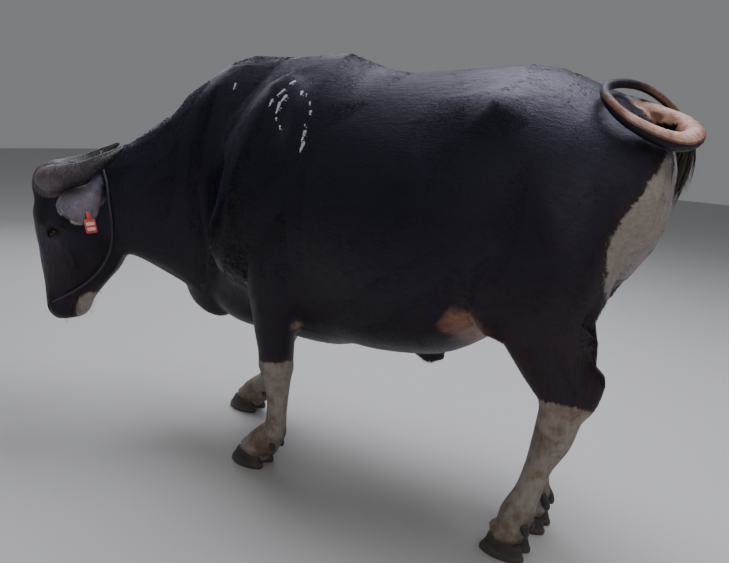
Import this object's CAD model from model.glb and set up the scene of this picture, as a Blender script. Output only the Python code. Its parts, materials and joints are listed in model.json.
# %% [markdown]
# # A Bali cattle bull
# This lesson dresses a plain model of a Bali cattle bull, the farm breed of the banteng. The bull
# stands with its head turned down to feed. The plain solids come in as a fixed frame. Over them goes
# one skin without seams, a coat of short hair with the breed's pale stockings and rump, and the
# finer horns, hooves, eyes, rope halter and ear tag.

# %% Load the frame
import json
import math

import bmesh
import bpy
import numpy as np
from mathutils import Matrix, Vector
from mathutils.bvhtree import BVHTree

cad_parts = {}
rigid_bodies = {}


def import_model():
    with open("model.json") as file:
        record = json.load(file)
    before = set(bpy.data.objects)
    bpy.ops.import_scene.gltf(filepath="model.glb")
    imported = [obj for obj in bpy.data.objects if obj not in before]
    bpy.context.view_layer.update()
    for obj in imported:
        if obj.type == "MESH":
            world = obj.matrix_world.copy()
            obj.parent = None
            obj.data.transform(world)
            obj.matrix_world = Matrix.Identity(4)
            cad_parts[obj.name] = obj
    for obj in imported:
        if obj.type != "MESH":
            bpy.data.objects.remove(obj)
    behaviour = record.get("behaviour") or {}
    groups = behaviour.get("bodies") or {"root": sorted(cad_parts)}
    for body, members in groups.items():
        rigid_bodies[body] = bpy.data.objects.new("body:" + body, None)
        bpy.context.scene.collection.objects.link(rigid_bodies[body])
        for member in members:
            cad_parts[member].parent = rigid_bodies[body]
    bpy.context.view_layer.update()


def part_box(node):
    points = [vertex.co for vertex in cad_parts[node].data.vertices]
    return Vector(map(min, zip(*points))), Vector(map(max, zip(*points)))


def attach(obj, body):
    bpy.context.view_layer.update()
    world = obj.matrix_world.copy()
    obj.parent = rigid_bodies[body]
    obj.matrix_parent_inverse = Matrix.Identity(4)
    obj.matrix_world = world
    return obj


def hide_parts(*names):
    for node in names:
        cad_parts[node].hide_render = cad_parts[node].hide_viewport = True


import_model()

# %% [markdown]
# The bull is drawn in its own metres: it faces -X, its left side is towards -Y and +Z is up. The head
# has axes of its own, because it is turned and hangs: down the face to the nose, out of the brow, and
# out of the left cheek. A place on the head is three small numbers that stay true however the head
# is carried.

# %% Driving sizes and the head's axes
LEFT, RIGHT = -1, 1
SIDE_NAME = {LEFT: "left", RIGHT: "right"}
WITHERS_HEIGHT = 1.34
BACK_HEIGHT = 1.292
CROUP_HEIGHT = 1.32
BELLY_HEIGHT = 0.455
CHEST_HALF_WIDTH = 0.285
BELLY_HALF_WIDTH = 0.335
HEAD_LENGTH = 0.52
POLL = Vector((-0.722, -0.376, 0.925))
HEAD_YAW = math.radians(52)
NOSE_TUCK = 0.03
FORE_FOOT = {LEFT: Vector((-0.008, -0.168, 0)), RIGHT: Vector((-0.31, 0.165, 0))}
HIND_FOOT = {LEFT: Vector((0.875, -0.138, 0)), RIGHT: Vector((0.882, 0.035, 0))}


def head_axes():
    brow = Vector((-math.cos(HEAD_YAW), -math.sin(HEAD_YAW), 0))
    nose = (Vector((0, 0, -1)) - brow * NOSE_TUCK).normalized()
    brow = (brow - nose * brow.dot(nose)).normalized()
    return nose, brow, brow.cross(nose)


NOSE, BROW, CHEEK = head_axes()


def on_head(down, forward, leftward=0.0):
    return POLL + NOSE * down + BROW * forward + CHEEK * leftward


EYE_RADIUS = 0.0195
EYE_DOWN, EYE_FORWARD, EYE_OUT = 0.206, 0.006, 0.088


def eye_centre(side):
    return on_head(EYE_DOWN, EYE_FORWARD, -side * EYE_OUT)


low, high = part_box("eye_left")
SHIFT = (low + high) / 2 - eye_centre(LEFT)
print("the bull's own origin sits at", [round(v, 4) for v in SHIFT])

# %% [markdown]
# The camera comes first, because everything is judged through it. It stands at the photographer's
# place behind the bull's left hip, a little above its back, leaning slightly to one side.

# %% Camera
FRAME_WIDTH = 729
CAMERA_YAW, CAMERA_PITCH, CAMERA_ROLL = math.radians(29.928), math.radians(13), math.radians(-4)
FOCAL_PIXELS = 690
CAMERA_PLACE = Vector((1.35207, -1.85317, 1.14088)) + SHIFT


def camera_axes():
    level = math.cos(CAMERA_PITCH)
    look = Vector((-math.sin(CAMERA_YAW) * level, math.cos(CAMERA_YAW) * level, -math.sin(CAMERA_PITCH)))
    right = Vector((math.cos(CAMERA_YAW), math.sin(CAMERA_YAW), 0))
    up = right.cross(look)
    leaning_right = right * math.cos(CAMERA_ROLL) - up * math.sin(CAMERA_ROLL)
    leaning_up = right * math.sin(CAMERA_ROLL) + up * math.cos(CAMERA_ROLL)
    return leaning_right, leaning_up, look


lens = bpy.data.cameras.new("view")
lens.sensor_fit = "HORIZONTAL"
lens.sensor_width = 36
lens.lens = FOCAL_PIXELS / FRAME_WIDTH * lens.sensor_width
lens.clip_end = 60
camera = bpy.data.objects.new("view", lens)
bpy.context.scene.collection.objects.link(camera)
right_way, up_way, look_way = camera_axes()
camera_turn = Matrix((right_way, up_way, -look_way)).transposed().to_4x4()
camera.matrix_world = Matrix.Translation(CAMERA_PLACE) @ camera_turn
bpy.context.scene.camera = camera
print("lens", round(lens.lens, 1), "mm")

# %% [markdown]
# A museum model stands on a plain pale floor in soft light. One wide lamp above gives the long sheen
# along the back that a sleek dark coat shows under an open sky, and two weaker ones fill the sides.

# %% Floor and studio light
floor_mesh = bpy.data.meshes.new("floor")
FLOOR_REACH = 14
floor_corners = [(FLOOR_REACH * x, FLOOR_REACH * y, 0) for x, y in ((-1, -1), (1, -1), (1, 1), (-1, 1))]
floor_mesh.from_pydata(floor_corners, [], [(0, 1, 2, 3)])
floor = bpy.data.objects.new("floor", floor_mesh)
bpy.context.scene.collection.objects.link(floor)
floor_paint = bpy.data.materials.new("floor_paint")
floor_paint.use_nodes = True
floor_paint.node_tree.nodes["Principled BSDF"].inputs["Base Color"].default_value = (0.52, 0.51, 0.5, 1)
floor_paint.node_tree.nodes["Principled BSDF"].inputs["Roughness"].default_value = 0.9
floor_mesh.materials.append(floor_paint)


def soft_light(name, place, target, size, power, colour):
    data = bpy.data.lights.new(name, "AREA")
    data.shape = "RECTANGLE"
    data.size, data.size_y = size
    data.energy = power
    data.color = colour
    lamp = bpy.data.objects.new(name, data)
    bpy.context.scene.collection.objects.link(lamp)
    lamp.location = Vector(place)
    lamp.rotation_mode = "QUATERNION"
    lamp.rotation_quaternion = (Vector(target) - Vector(place)).to_track_quat("-Z", "Y")


soft_light("sky", (0.5, 0.9, 4.4), (0.1, 0, 0.9), (4.2, 2.6), 235, (0.9, 0.92, 1.0))
soft_light("open_side", (2.6, -3.4, 2.4), (0.1, 0, 0.7), (3.0, 2.2), 30, (1.0, 0.95, 0.9))
soft_light("far_side", (-3.2, 2.6, 2.6), (0, 0, 0.8), (3.0, 2.0), 46, (0.92, 0.95, 1.0))
surround = bpy.data.worlds.new("surround")
bpy.context.scene.world = surround
surround.use_nodes = True
surround.node_tree.nodes["Background"].inputs["Color"].default_value = (0.8, 0.83, 0.86, 1)
surround.node_tree.nodes["Background"].inputs["Strength"].default_value = 0.25

# %% [markdown]
# A body is easiest to draw as lofts: closed rings from station to station, each with its own width and
# its own reach up and down. A handful of stations per mass is enough, because a smooth curve runs
# through them. The rings are rounded squares whose power says how boxy or keeled the section is.

# %% Rings and lofts
def rounded(angle, power):
    c, s = math.cos(angle), math.sin(angle)
    return math.copysign(abs(s) ** (2 / power), s), math.copysign(abs(c) ** (2 / power), c)


def ring_at(centre, right, up, half, above, below, top_power=2.0, low_power=2.0, sides=32):
    ring = []
    for i in range(sides):
        angle = 2 * math.pi * i / sides
        across, lift = rounded(angle, top_power if math.cos(angle) > 0 else low_power)
        height = above if lift > 0 else below
        ring.append(centre + right * (across * half) + up * (lift * height))
    return ring


def linked(name, data):
    obj = bpy.data.objects.new(name, data)
    bpy.context.scene.collection.objects.link(obj)
    return obj


def made_object(name, shape):
    """A finished bmesh as an object."""
    data = bpy.data.meshes.new(name)
    shape.to_mesh(data)
    shape.free()
    return linked(name, data)


def loft(name, rings):
    """Skins rings of equal length, with both ends closed."""
    sides = len(rings[0])
    points = [tuple(point) for ring in rings for point in ring]
    faces = []
    for row in range(len(rings) - 1):
        for i in range(sides):
            j = (i + 1) % sides
            a, b = row * sides, (row + 1) * sides
            faces.append((a + i, a + j, b + j, b + i))
    faces.append(tuple(range(sides))[::-1])
    faces.append(tuple(range(len(points) - sides, len(points))))
    data = bpy.data.meshes.new(name)
    data.from_pydata(points, [], faces)
    shape = bmesh.new()
    shape.from_mesh(data)
    bpy.data.meshes.remove(data)
    bmesh.ops.recalc_face_normals(shape, faces=shape.faces[:])
    return made_object(name, shape)


def smooth_stations(stations, count):
    """Catmull-Rom samples between rows of numbers."""
    rows = np.array(stations, float)
    padded = np.vstack([2 * rows[0] - rows[1], rows, 2 * rows[-1] - rows[-2]])
    out = []
    for k in range(len(rows) - 1):
        a, b, c, d = padded[k : k + 4]
        for i in range(count):
            t = i / count
            bend = (2 * a - 5 * b + 4 * c - d) * t**2 + (3 * b - a - 3 * c + d) * t**3
            out.append(0.5 * (2 * b + (c - a) * t + bend))
    out.append(rows[-1])
    return out


def directions(points):
    last = len(points) - 1
    return [(points[min(i + 1, last)] - points[max(i - 1, 0)]).normalized() for i in range(last + 1)]


def ball(name, placing, radius=1, around=32, rows=20):
    """A ball set in its place by a matrix."""
    shape = bmesh.new()
    bmesh.ops.create_uvsphere(shape, u_segments=around, v_segments=rows, radius=radius)
    shape.transform(placing)
    return made_object(name, shape)


def blob(centre, radii, turn=(0, 0, 0)):
    """A muscle or bone mass: an ellipsoid with those radii, turned by degrees about x, y and z."""
    spin = Matrix.Rotation(math.radians(turn[2]), 4, "Z") @ Matrix.Rotation(math.radians(turn[1]), 4, "Y")
    spin = spin @ Matrix.Rotation(math.radians(turn[0]), 4, "X")
    return ball("mass", Matrix.Translation(Vector(centre)) @ spin @ Matrix.Diagonal((*radii, 1)))


# %% [markdown]
# The trunk of this breed is deep in the chest, strongly crested over the withers and round over the
# croup. Its stations give the top, the widest level, the bottom and the half width along the body.

# %% Trunk and neck
def trunk_mass():
    stations = [
        (-0.32, 0.9, 0.75, 0.56, 0.06, 2.0, 2.0),
        (-0.24, 1.08, 0.78, 0.49, 0.13, 2.0, 2.0),
        (-0.13, 1.275, 0.84, 0.455, 0.205, 1.9, 2.0),
        (-0.03, 1.325, 0.88, 0.435, 0.25, 1.75, 2.0),
        (0.08, 1.337, 0.89, 0.42, 0.275, 1.7, 2.0),
        (0.2, WITHERS_HEIGHT, 0.88, 0.425, CHEST_HALF_WIDTH, 1.7, 2.0),
        (0.3, 1.308, 0.86, 0.45, 0.3, 1.8, 2.1),
        (0.4, BACK_HEIGHT, 0.84, BELLY_HEIGHT, 0.32, 1.9, 2.1),
        (0.52, 1.296, 0.84, 0.472, BELLY_HALF_WIDTH, 2.0, 2.1),
        (0.62, 1.308, 0.85, 0.498, 0.33, 2.05, 2.1),
        (0.71, 1.317, 0.87, 0.555, 0.315, 2.1, 2.1),
        (0.79, CROUP_HEIGHT, 0.9, 0.63, 0.3, 2.15, 2.1),
        (0.87, 1.303, 0.93, 0.68, 0.285, 2.2, 2.0),
        (0.96, 1.265, 0.96, 0.715, 0.265, 2.2, 2.0),
        (1.05, 1.205, 0.99, 0.77, 0.225, 2.1, 2.0),
        (1.11, 1.15, 1.02, 0.86, 0.16, 2.0, 2.0),
        (1.14, 1.1, 1.02, 0.94, 0.07, 2.0, 2.0),
    ]
    rings = []
    for x, top, wide, base, half, top_power, low_power in smooth_stations(stations, 4):
        centre, right, up = Vector((x, 0, wide)), Vector((0, 1, 0)), Vector((0, 0, 1))
        rings.append(ring_at(centre, right, up, half, top - wide, wide - base, top_power, low_power, 56))
    return loft("mass", rings)


def neck_mass():
    """Bent neck: x, y, z of its middle, half width, reach to the crest, reach to the throat."""
    stations = [
        (0.02, 0.0, 0.98, 0.2, 0.355, 0.36),
        (-0.14, 0.0, 0.95, 0.195, 0.38, 0.42),
        (-0.26, -0.02, 0.92, 0.17, 0.335, 0.46),
        (-0.36, -0.075, 0.885, 0.145, 0.28, 0.43),
        (-0.46, -0.15, 0.86, 0.122, 0.212, 0.315),
        (-0.54, -0.215, 0.845, 0.107, 0.17, 0.225),
        (-0.63, -0.28, 0.835, 0.092, 0.138, 0.18),
    ]
    rows = smooth_stations(stations, 5)
    points = [Vector(row[:3]) for row in rows]
    rings = []
    for point, along, row in zip(points, directions(points), rows):
        up = (Vector((0, 0, 1)) - along * along.z).normalized()
        rings.append(ring_at(point, up.cross(along), up, row[3], row[4], row[5], 1.8, 1.7, 48))
    return loft("mass", rings)


# %% [markdown]
# The skull is a long wedge: broad between the horns and eyes, deep at the jaw, narrow over the nose and
# a little wider again at the muzzle. Its stations run down the face from the poll.

# %% Head
def head_mass():
    stations = [
        (-0.02, 0.06, 0.03, 0.06),
        (0.005, 0.085, 0.06, 0.11),
        (0.05, 0.1, 0.072, 0.16),
        (0.11, 0.106, 0.07, 0.19),
        (0.18, 0.11, 0.072, 0.205),
        (0.24, 0.1, 0.07, 0.226),
        (0.3, 0.085, 0.062, 0.228),
        (0.36, 0.07, 0.055, 0.196),
        (0.42, 0.062, 0.052, 0.138),
        (0.46, 0.066, 0.052, 0.105),
        (0.495, 0.062, 0.045, 0.09),
        (HEAD_LENGTH, 0.045, 0.025, 0.062),
    ]
    rings = []
    for down, half, front, back in smooth_stations(stations, 4):
        rings.append(ring_at(POLL + NOSE * down, CHEEK, BROW, half, front, back, 2.6, 2.2, 48))
    return loft("mass", rings)


# %% [markdown]
# Legs are lofts along the bones, with their reach forwards and backwards apart, so that the tendons
# behind a cannon bone or the point of the hock fall where they should. Separate muscle masses lie over
# the shoulder, arm, thigh and buttock, and are melted into the trunk afterwards.

# %% Legs and muscles
def limb(rows):
    points = [Vector(row[:3]) for row in rows]
    ahead = Vector((-1, 0, 0))
    rings = []
    for point, along, row in zip(points, directions(points), rows):
        front = (ahead - along * ahead.dot(along)).normalized()
        rings.append(ring_at(point, along.cross(front), front, row[3], row[4], row[5], sides=32))
    return loft("mass", rings)


def fore_leg_rows(side):
    """Middle x, y, z of a foreleg from the shoulder down, half width, reach forwards, reach backwards."""
    foot = FORE_FOOT[side]
    lean = foot.x - FORE_FOOT[LEFT].x
    across = foot.y
    stations = [
        (0.075, 0.9, side * 0.19, 0.3, 0.08, 0.12, 0.12),
        (0.08, 0.8, side * 0.205, 0.42, 0.08, 0.11, 0.12),
        (0.09, 0.62, side * 0.208, 0.62, 0.074, 0.09, 0.1),
        (0.088, 0.5, side * 0.2, 0.74, 0.06, 0.07, 0.076),
        (0.094, 0.405, side * 0.192, 0.84, 0.051, 0.057, 0.06),
        (0.097, 0.35, side * 0.188, 0.89, 0.048, 0.053, 0.05),
        (0.098, 0.295, side * 0.184, 0.92, 0.038, 0.041, 0.042),
        (0.094, 0.22, side * 0.178, 0.96, 0.032, 0.035, 0.037),
        (0.08, 0.15, across, 0.98, 0.035, 0.037, 0.042),
        (0.05, 0.105, across, 0.99, 0.044, 0.046, 0.058),
        (0.021, 0.078, across, 1.0, 0.044, 0.046, 0.056),
        (0.001, 0.045, across, 1.0, 0.053, 0.058, 0.062),
    ]
    rows = []
    for x, z, y, share, half, front, back in stations:
        rows.append((x + lean * max(0.0, share - 0.42) / 0.58, y, z, half, front, back))
    return smooth_stations(rows, 5)


HOCK = {LEFT: Vector((0.985, -0.16, 0.45)), RIGHT: Vector((0.902, 0.115, 0.45))}


def hind_leg_rows(side):
    foot, hock = HIND_FOOT[side], HOCK[side]
    y_low = foot.y
    shift = 0 if side == LEFT else -0.075
    stations = [
        (0.895 + shift / 2, side * 0.185, 0.86, 0.09, 0.14, 0.16),
        (0.895 + shift, side * 0.2, 0.74, 0.085, 0.125, 0.135),
        (0.915 + shift, side * 0.2, 0.66, 0.075, 0.105, 0.112),
        (hock.x - 0.04, (side * 0.195 + hock.y) / 2, 0.585, 0.06, 0.094, 0.098),
        (hock.x - 0.002, hock.y, 0.505, 0.05, 0.076, 0.07),
        (hock.x - 0.003, hock.y, 0.44, 0.047, 0.056, 0.056),
        (hock.x * 0.93 + foot.x * 0.07, hock.y * 0.85 + y_low * 0.15, 0.37, 0.04, 0.043, 0.043),
        (hock.x * 0.62 + foot.x * 0.38, (hock.y + y_low) / 2, 0.29, 0.033, 0.036, 0.038),
        (hock.x * 0.4 + foot.x * 0.6, hock.y * 0.2 + y_low * 0.8, 0.2, 0.034, 0.036, 0.04),
        (hock.x * 0.15 + foot.x * 0.85, y_low, 0.125, 0.043, 0.042, 0.05),
        (foot.x + 0.008, y_low, 0.085, 0.043, 0.041, 0.046),
        (foot.x - 0.006, y_low, 0.05, 0.051, 0.053, 0.054),
    ]
    return smooth_stations(stations, 5)


def hind_leg(side):
    behind = 0.058 if side == LEFT else 0.042
    heel = blob(HOCK[side] + Vector((behind, 0, 0.062)), (0.036, 0.027, 0.088), (0, 18, 0))
    tendon = blob(HOCK[side] + Vector((behind - 0.02, 0, 0.165)), (0.034, 0.022, 0.1), (0, 4, 0))
    return [limb(hind_leg_rows(side)), heel, tendon]


def muscles(side):
    rear = 0.02 * (side == RIGHT)
    return [
        blob((0.03, side * 0.175, 1.02), (0.15, 0.1, 0.27), (side * 12, 18, 0)),
        blob((-0.03, side * 0.2, 0.77), (0.17, 0.095, 0.15), (0, -25, 0)),
        blob((0.9 - rear, side * 0.17, 0.9), (0.175, 0.125, 0.26), (side * 4, -8, 0)),
        blob((1.05 - rear, side * 0.12, 1.03), (0.1, 0.085, 0.16), (0, -16, 0)),
        blob((0.8, side * 0.215, 0.72), (0.07, 0.07, 0.1)),
        blob((0.75, side * 0.205, 1.165), (0.09, 0.06, 0.07)),
    ]


def belly_masses():
    return [
        blob((-0.31, -0.03, 0.575), (0.145, 0.08, 0.15), (0, -25, 0)),
        blob((-0.1, 0, 0.54), (0.22, 0.15, 0.12)),
        blob((0.52, 0, 0.475), (0.07, 0.028, 0.03), (0, 12, 0)),
    ]


def scrotum_mass():
    """Hangs between the thighs: height, half width, half length."""
    stations = [
        (0.78, 0.03, 0.036),
        (0.745, 0.024, 0.03),
        (0.7, 0.024, 0.03),
        (0.655, 0.029, 0.034),
        (0.6, 0.038, 0.043),
        (0.555, 0.042, 0.047),
        (0.52, 0.036, 0.04),
        (0.502, 0.018, 0.022),
    ]
    rings = []
    for z, half, half_long in smooth_stations(stations, 4):
        centre, across, ahead = Vector((0.905, 0, z)), Vector((0, 1, 0)), Vector((1, 0, 0))
        rings.append(ring_at(centre, across, ahead, half, half_long, half_long, sides=28))
    return loft("mass", rings)


# %% [markdown]
# The masses become one surface with a voxel remesh, which wraps everything in an even net of small
# squares. Rounds of averaging each point with its neighbours then melt the creases between masses,
# strongly on the trunk and hardly at all on the lower legs and feet.

# %% Fuse and melt
SKIN_VOXEL = 0.0065
MELT_ROUNDS = 38
SOFT_PLACES = (
    ((-0.15, 0.22, 1.0), (0.16, 0.11, 0.27)),
    ((-0.2, 0.2, 0.76), (0.13, 0.11, 0.19)),
    ((0.3, 0.05, 1.31), (0.11, 0.16, 0.05)),
)


def apply_modifiers(obj):
    graph = bpy.context.evaluated_depsgraph_get()
    made = bpy.data.meshes.new_from_object(obj.evaluated_get(graph), depsgraph=graph)
    obj.modifiers.clear()
    obj.data = made


def joined(name, parts):
    shape = bmesh.new()
    for obj in parts:
        shape.from_mesh(obj.data)
        bpy.data.objects.remove(obj, do_unlink=True)
    return made_object(name, shape)


def fuse(name, parts, voxel):
    whole = joined(name, parts)
    remesh = whole.modifiers.new("fuse", "REMESH")
    remesh.mode = "VOXEL"
    remesh.voxel_size = voxel
    apply_modifiers(whole)
    return whole


def boolean(obj, operation, tool, solver="MANIFOLD"):
    change = obj.modifiers.new("boolean", "BOOLEAN")
    change.operation = operation
    change.solver = solver
    change.object = tool
    apply_modifiers(obj)
    bpy.data.objects.remove(tool, do_unlink=True)


def points_of(mesh):
    co = np.empty(len(mesh.vertices) * 3)
    mesh.vertices.foreach_get("co", co)
    return co.reshape(-1, 3)


def normals_of(mesh):
    no = np.empty(len(mesh.vertices) * 3)
    mesh.vertex_normals.foreach_get("vector", no)
    return no.reshape(-1, 3)


def move_points(mesh, co):
    mesh.vertices.foreach_set("co", co.ravel())
    mesh.update()


def tree_of(obj):
    places = [vertex.co for vertex in obj.data.vertices]
    return BVHTree.FromPolygons(places, [tuple(face.vertices) for face in obj.data.polygons])


def keep_numbers(mesh, numbers):
    """Stores a number for each point under each name, for the materials to read."""
    for name, values in numbers.items():
        layer = mesh.attributes.new(name, "FLOAT", "POINT")
        layer.data.foreach_set("value", values.astype(np.float32))


def relax(mesh, rounds, weight):
    """Moves each point towards the mean of its neighbours by its weight."""
    co = points_of(mesh)
    edges = np.empty(len(mesh.edges) * 2, int)
    mesh.edges.foreach_get("vertices", edges)
    a, b = edges.reshape(-1, 2).T
    degree = np.bincount(edges, minlength=len(co))[:, None]
    weight = np.broadcast_to(weight, len(co))[:, None]
    for _ in range(rounds):
        total = np.empty_like(co)
        for axis in range(3):
            total[:, axis] = np.bincount(a, co[b, axis], len(co)) + np.bincount(b, co[a, axis], len(co))
        co = co + (total / degree - co) * weight
    move_points(mesh, co)


masses = [trunk_mass(), neck_mass(), head_mass(), scrotum_mass()] + belly_masses()
for side in (LEFT, RIGHT):
    masses += muscles(side)
    masses.append(limb(fore_leg_rows(side)))
    masses += hind_leg(side)
skin = fuse("skin", masses, SKIN_VOXEL)
heights = points_of(skin.data)[:, 2]
relax(skin.data, MELT_ROUNDS, 0.08 + 0.5 * np.clip((heights - 0.38) / 0.25, 0, 1))
co = points_of(skin.data)
soft = np.zeros(len(co))
for middle, reach in SOFT_PLACES:
    off = np.stack([co[:, 0] - middle[0], np.abs(co[:, 1]) - middle[1], co[:, 2] - middle[2]], 1)
    far = (off / np.array(reach)) ** 2
    soft = np.maximum(soft, np.exp(-far.sum(1) * 1.2))
relax(skin.data, 300, 0.5 * soft * (soft > 0.03) * np.where(co[:, 0] > 0.15, 0.25, 1.0))
print("fused skin", len(skin.data.vertices), "points")

# %% [markdown]
# The head gets most of the care, so its net is made four times finer, and finer again round the eyes
# and on the muzzle, before anything is modelled there. Everything else keeps the wide net.

# %% Finer net on the head
def head_places(co):
    """Down the face, forwards out of the brow and out to the left, for each point."""
    return (co - np.array(POLL)) @ np.array((NOSE, BROW, CHEEK)).T


def before_jaw(places):
    """How far each point is in front of the line from behind the poll to behind the jaw."""
    nape, throat = np.array((0.0, -0.182)), np.array((0.24, -0.25))
    line = throat - nape
    square = np.array((-line[1], line[0])) / np.linalg.norm(line)
    return (places[:, :2] - nape) @ square


def refine(obj, chosen_of):
    """Cuts every chosen face in four."""
    shape = bmesh.new()
    shape.from_mesh(obj.data)
    centres = np.array([face.calc_center_median() for face in shape.faces])
    chosen = chosen_of(centres)
    edges = {edge for face, take in zip(shape.faces, chosen) if take for edge in face.edges}
    bmesh.ops.subdivide_edges(shape, edges=list(edges), cuts=1, use_grid_fill=True)
    shape.to_mesh(obj.data)
    shape.free()


def on_the_head(co):
    places = head_places(co)
    return (before_jaw(places) > 0) & (places[:, 0] > -0.04) & (np.abs(places[:, 2]) < 0.16)


def delicate(co):
    places = head_places(co)
    eyes = places - (EYE_DOWN, EYE_FORWARD, 0)
    eyes[:, 2] = np.abs(places[:, 2]) - EYE_OUT
    muzzle = places[:, 0] > 0.4 - 0.06 * (places[:, 1] < 0)
    return on_the_head(co) & ((np.linalg.norm(eyes, axis=1) < 0.052) | muzzle)


refine(skin, on_the_head)
co = points_of(skin.data)
relax(skin.data, 4, 0.5 * on_the_head(co))
refine(skin, delicate)
co = points_of(skin.data)
relax(skin.data, 3, 0.5 * delicate(co))
print("finer skin", len(skin.data.vertices), "points")

# %% [markdown]
# Bone, muscle and fold are modelled as a sculptor adds and takes away clay. A swell is a bell of a
# given place, reach and height along the skin's own normal, a ridge or furrow is a bell across a line.

# %% Clay tools
def push(mesh, amount):
    co = points_of(mesh)
    move_points(mesh, co + normals_of(mesh) * amount[:, None])


def hump(value, middle, width):
    """A bell over one number."""
    return np.exp(-(((value - middle) / width) ** 2))


def bell(places, centre, reach):
    """A bell over places: 1 at its centre, and its reach is given for each axis."""
    return np.exp(-(((places - np.array(centre)) / np.array(reach)) ** 2).sum(1))


def line_distance(places, line):
    """Distance of each place from a bent line, and how far along the line its nearest spot is."""
    line = np.array(line, float)
    best = np.full(len(places), 9.0)
    share = np.zeros(len(places))
    spans = np.linalg.norm(np.diff(line, axis=0), axis=1)
    gone = np.concatenate([[0], np.cumsum(spans)]) / spans.sum()
    for k in range(len(line) - 1):
        span = line[k + 1] - line[k]
        t = np.clip((places - line[k]) @ span / (span @ span), 0, 1)
        far = np.linalg.norm(places - (line[k] + t[:, None] * span), axis=1)
        closer = far < best
        best[closer] = far[closer]
        share[closer] = (gone[k] + t * (gone[k + 1] - gone[k]))[closer]
    return best, share


def ridge(places, line, width):
    """A bell across a line that dies away at both its ends."""
    far, share = line_distance(places, smooth_stations(line, 4) if len(line) > 2 else line)
    return hump(far, 0, width) * np.clip(np.minimum(share, 1 - share) * 5, 0, 1) ** 0.7


# %% [markdown]
# The bones of the face show through thin skin: the ridge over the eye, the crest below it that carries
# the cheek muscle, the edge of the jaw and the flat nose bone. Between them the skin sinks in.

# %% Sculpt the head
HEAD_SWELLS = [
    ((0.215, -0.11, 0.095), (0.07, 0.056, 0.05), 0.01),
    ((0.165, -0.05, 0.105), (0.034, 0.03, 0.04), -0.0085),
    ((0.172, 0.038, 0.082), (0.026, 0.026, 0.03), 0.006),
    ((0.096, 0.075, 0.0), (0.03, 0.04, 0.07), -0.0065),
    ((0.15, 0.07, 0.0), (0.03, 0.04, 0.07), 0.0035),
    ((0.262, 0.064, 0.0), (0.045, 0.04, 0.05), -0.004),
    ((0.06, 0.02, 0.088), (0.028, 0.04, 0.026), 0.006),
    ((0.075, 0.07, 0.05), (0.05, 0.04, 0.03), 0.0035),
    ((0.328, -0.08, 0.08), (0.05, 0.034, 0.04), -0.0085),
    ((0.355, 0.004, 0.066), (0.06, 0.026, 0.032), -0.0065),
    ((0.3, 0.06, 0.0), (0.12, 0.04, 0.022), 0.003),
    ((0.25, 0.03, 0.08), (0.024, 0.02, 0.03), -0.003),
    ((0.466, 0.03, 0.054), (0.03, 0.03, 0.026), 0.0085),
    ((0.478, -0.01, 0.055), (0.03, 0.024, 0.03), 0.0035),
    ((0.492, -0.066, 0.0), (0.026, 0.024, 0.05), 0.004),
    ((0.43, -0.04, 0.06), (0.026, 0.02, 0.03), -0.0025),
    ((0.505, 0.018, 0.0), (0.02, 0.024, 0.012), -0.002),
    ((0.1, -0.115, 0.09), (0.05, 0.04, 0.04), 0.003),
    ((0.33, -0.19, 0.0), (0.12, 0.05, 0.022), -0.006),
]
HEAD_RIDGES = [
    ([(0.25, -0.02, 0.1), (0.29, -0.04, 0.09), (0.34, -0.05, 0.07)], 0.008, 0.004),
    ([(0.15, -0.18, 0.09), (0.24, -0.215, 0.07), (0.33, -0.195, 0.05), (0.41, -0.13, 0.04)], 0.013, 0.004),
    ([(0.19, 0.046, 0.095), (0.176, 0.03, 0.1), (0.18, 0.0, 0.105), (0.196, -0.028, 0.106)], 0.006, 0.003),
    ([(0.26, 0.018, 0.085), (0.33, 0.026, 0.06), (0.4, 0.006, 0.058), (0.44, -0.012, 0.06)], 0.003, 0.0014),
    ([(0.3, -0.01, 0.085), (0.35, -0.03, 0.07), (0.395, -0.02, 0.06)], 0.0026, 0.0012),
    ([(0.06, -0.15, 0.09), (0.12, -0.178, 0.09), (0.19, -0.2, 0.08)], 0.01, -0.004),
    ([(0.34, -0.12, 0.07), (0.372, -0.098, 0.06), (0.396, -0.084, 0.05)], 0.005, -0.0026),
    ([(0.228, 0.034, 0.09), (0.246, 0.046, 0.08), (0.262, 0.05, 0.066)], 0.003, -0.002),
    ([(0.236, 0.022, 0.095), (0.262, 0.03, 0.086), (0.286, 0.03, 0.074)], 0.0034, -0.0016),
]


def both_sides(places, axis=2):
    """Folds one side of the body over on to the other."""
    folded = places.copy()
    folded[:, axis] = np.abs(places[:, axis])
    return folded


RIDGE_STRENGTH = 1.4


def sculpt_head(mesh):
    co = points_of(mesh)
    places = both_sides(head_places(co))
    here = (before_jaw(head_places(co)) > -0.05) & (places[:, 0] > -0.05)
    amount = np.zeros(len(co))
    local = places[here]
    total = np.zeros(len(local))
    for centre, reach, height in HEAD_SWELLS:
        total += height * bell(local, centre, reach)
    for line, width, height in HEAD_RIDGES:
        total += RIDGE_STRENGTH * height * ridge(local, line, width)
    amount[here] = total
    push(mesh, amount)


sculpt_head(skin.data)

# %% [markdown]
# An eyelid lies on the eyeball like a second shell. So the skin round each eye is pushed out on to a
# sphere a little larger than the ball, folds are pressed round it in arcs, and then the ball's own
# room and the almond of the opening are cut away.

# %% Lids
LID_THICK = 0.0034
LID_FOLD_REACH = 0.034
LID_FOLDS = [
    (0.0165, -0.0018, 0.002),
    (0.02025, 0.0016, 0.003),
    (0.02475, -0.0012, 0.0026),
    (-0.01425, -0.0014, 0.0018),
    (-0.01755, 0.001, 0.0024),
    (-0.0204, -0.0012, 0.0024),
    (-0.0232, -0.0008, 0.0024),
]


def eye_axis(side):
    return (CHEEK * -side * 0.9 + BROW * 0.42 - NOSE * 0.05).normalized()


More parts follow.
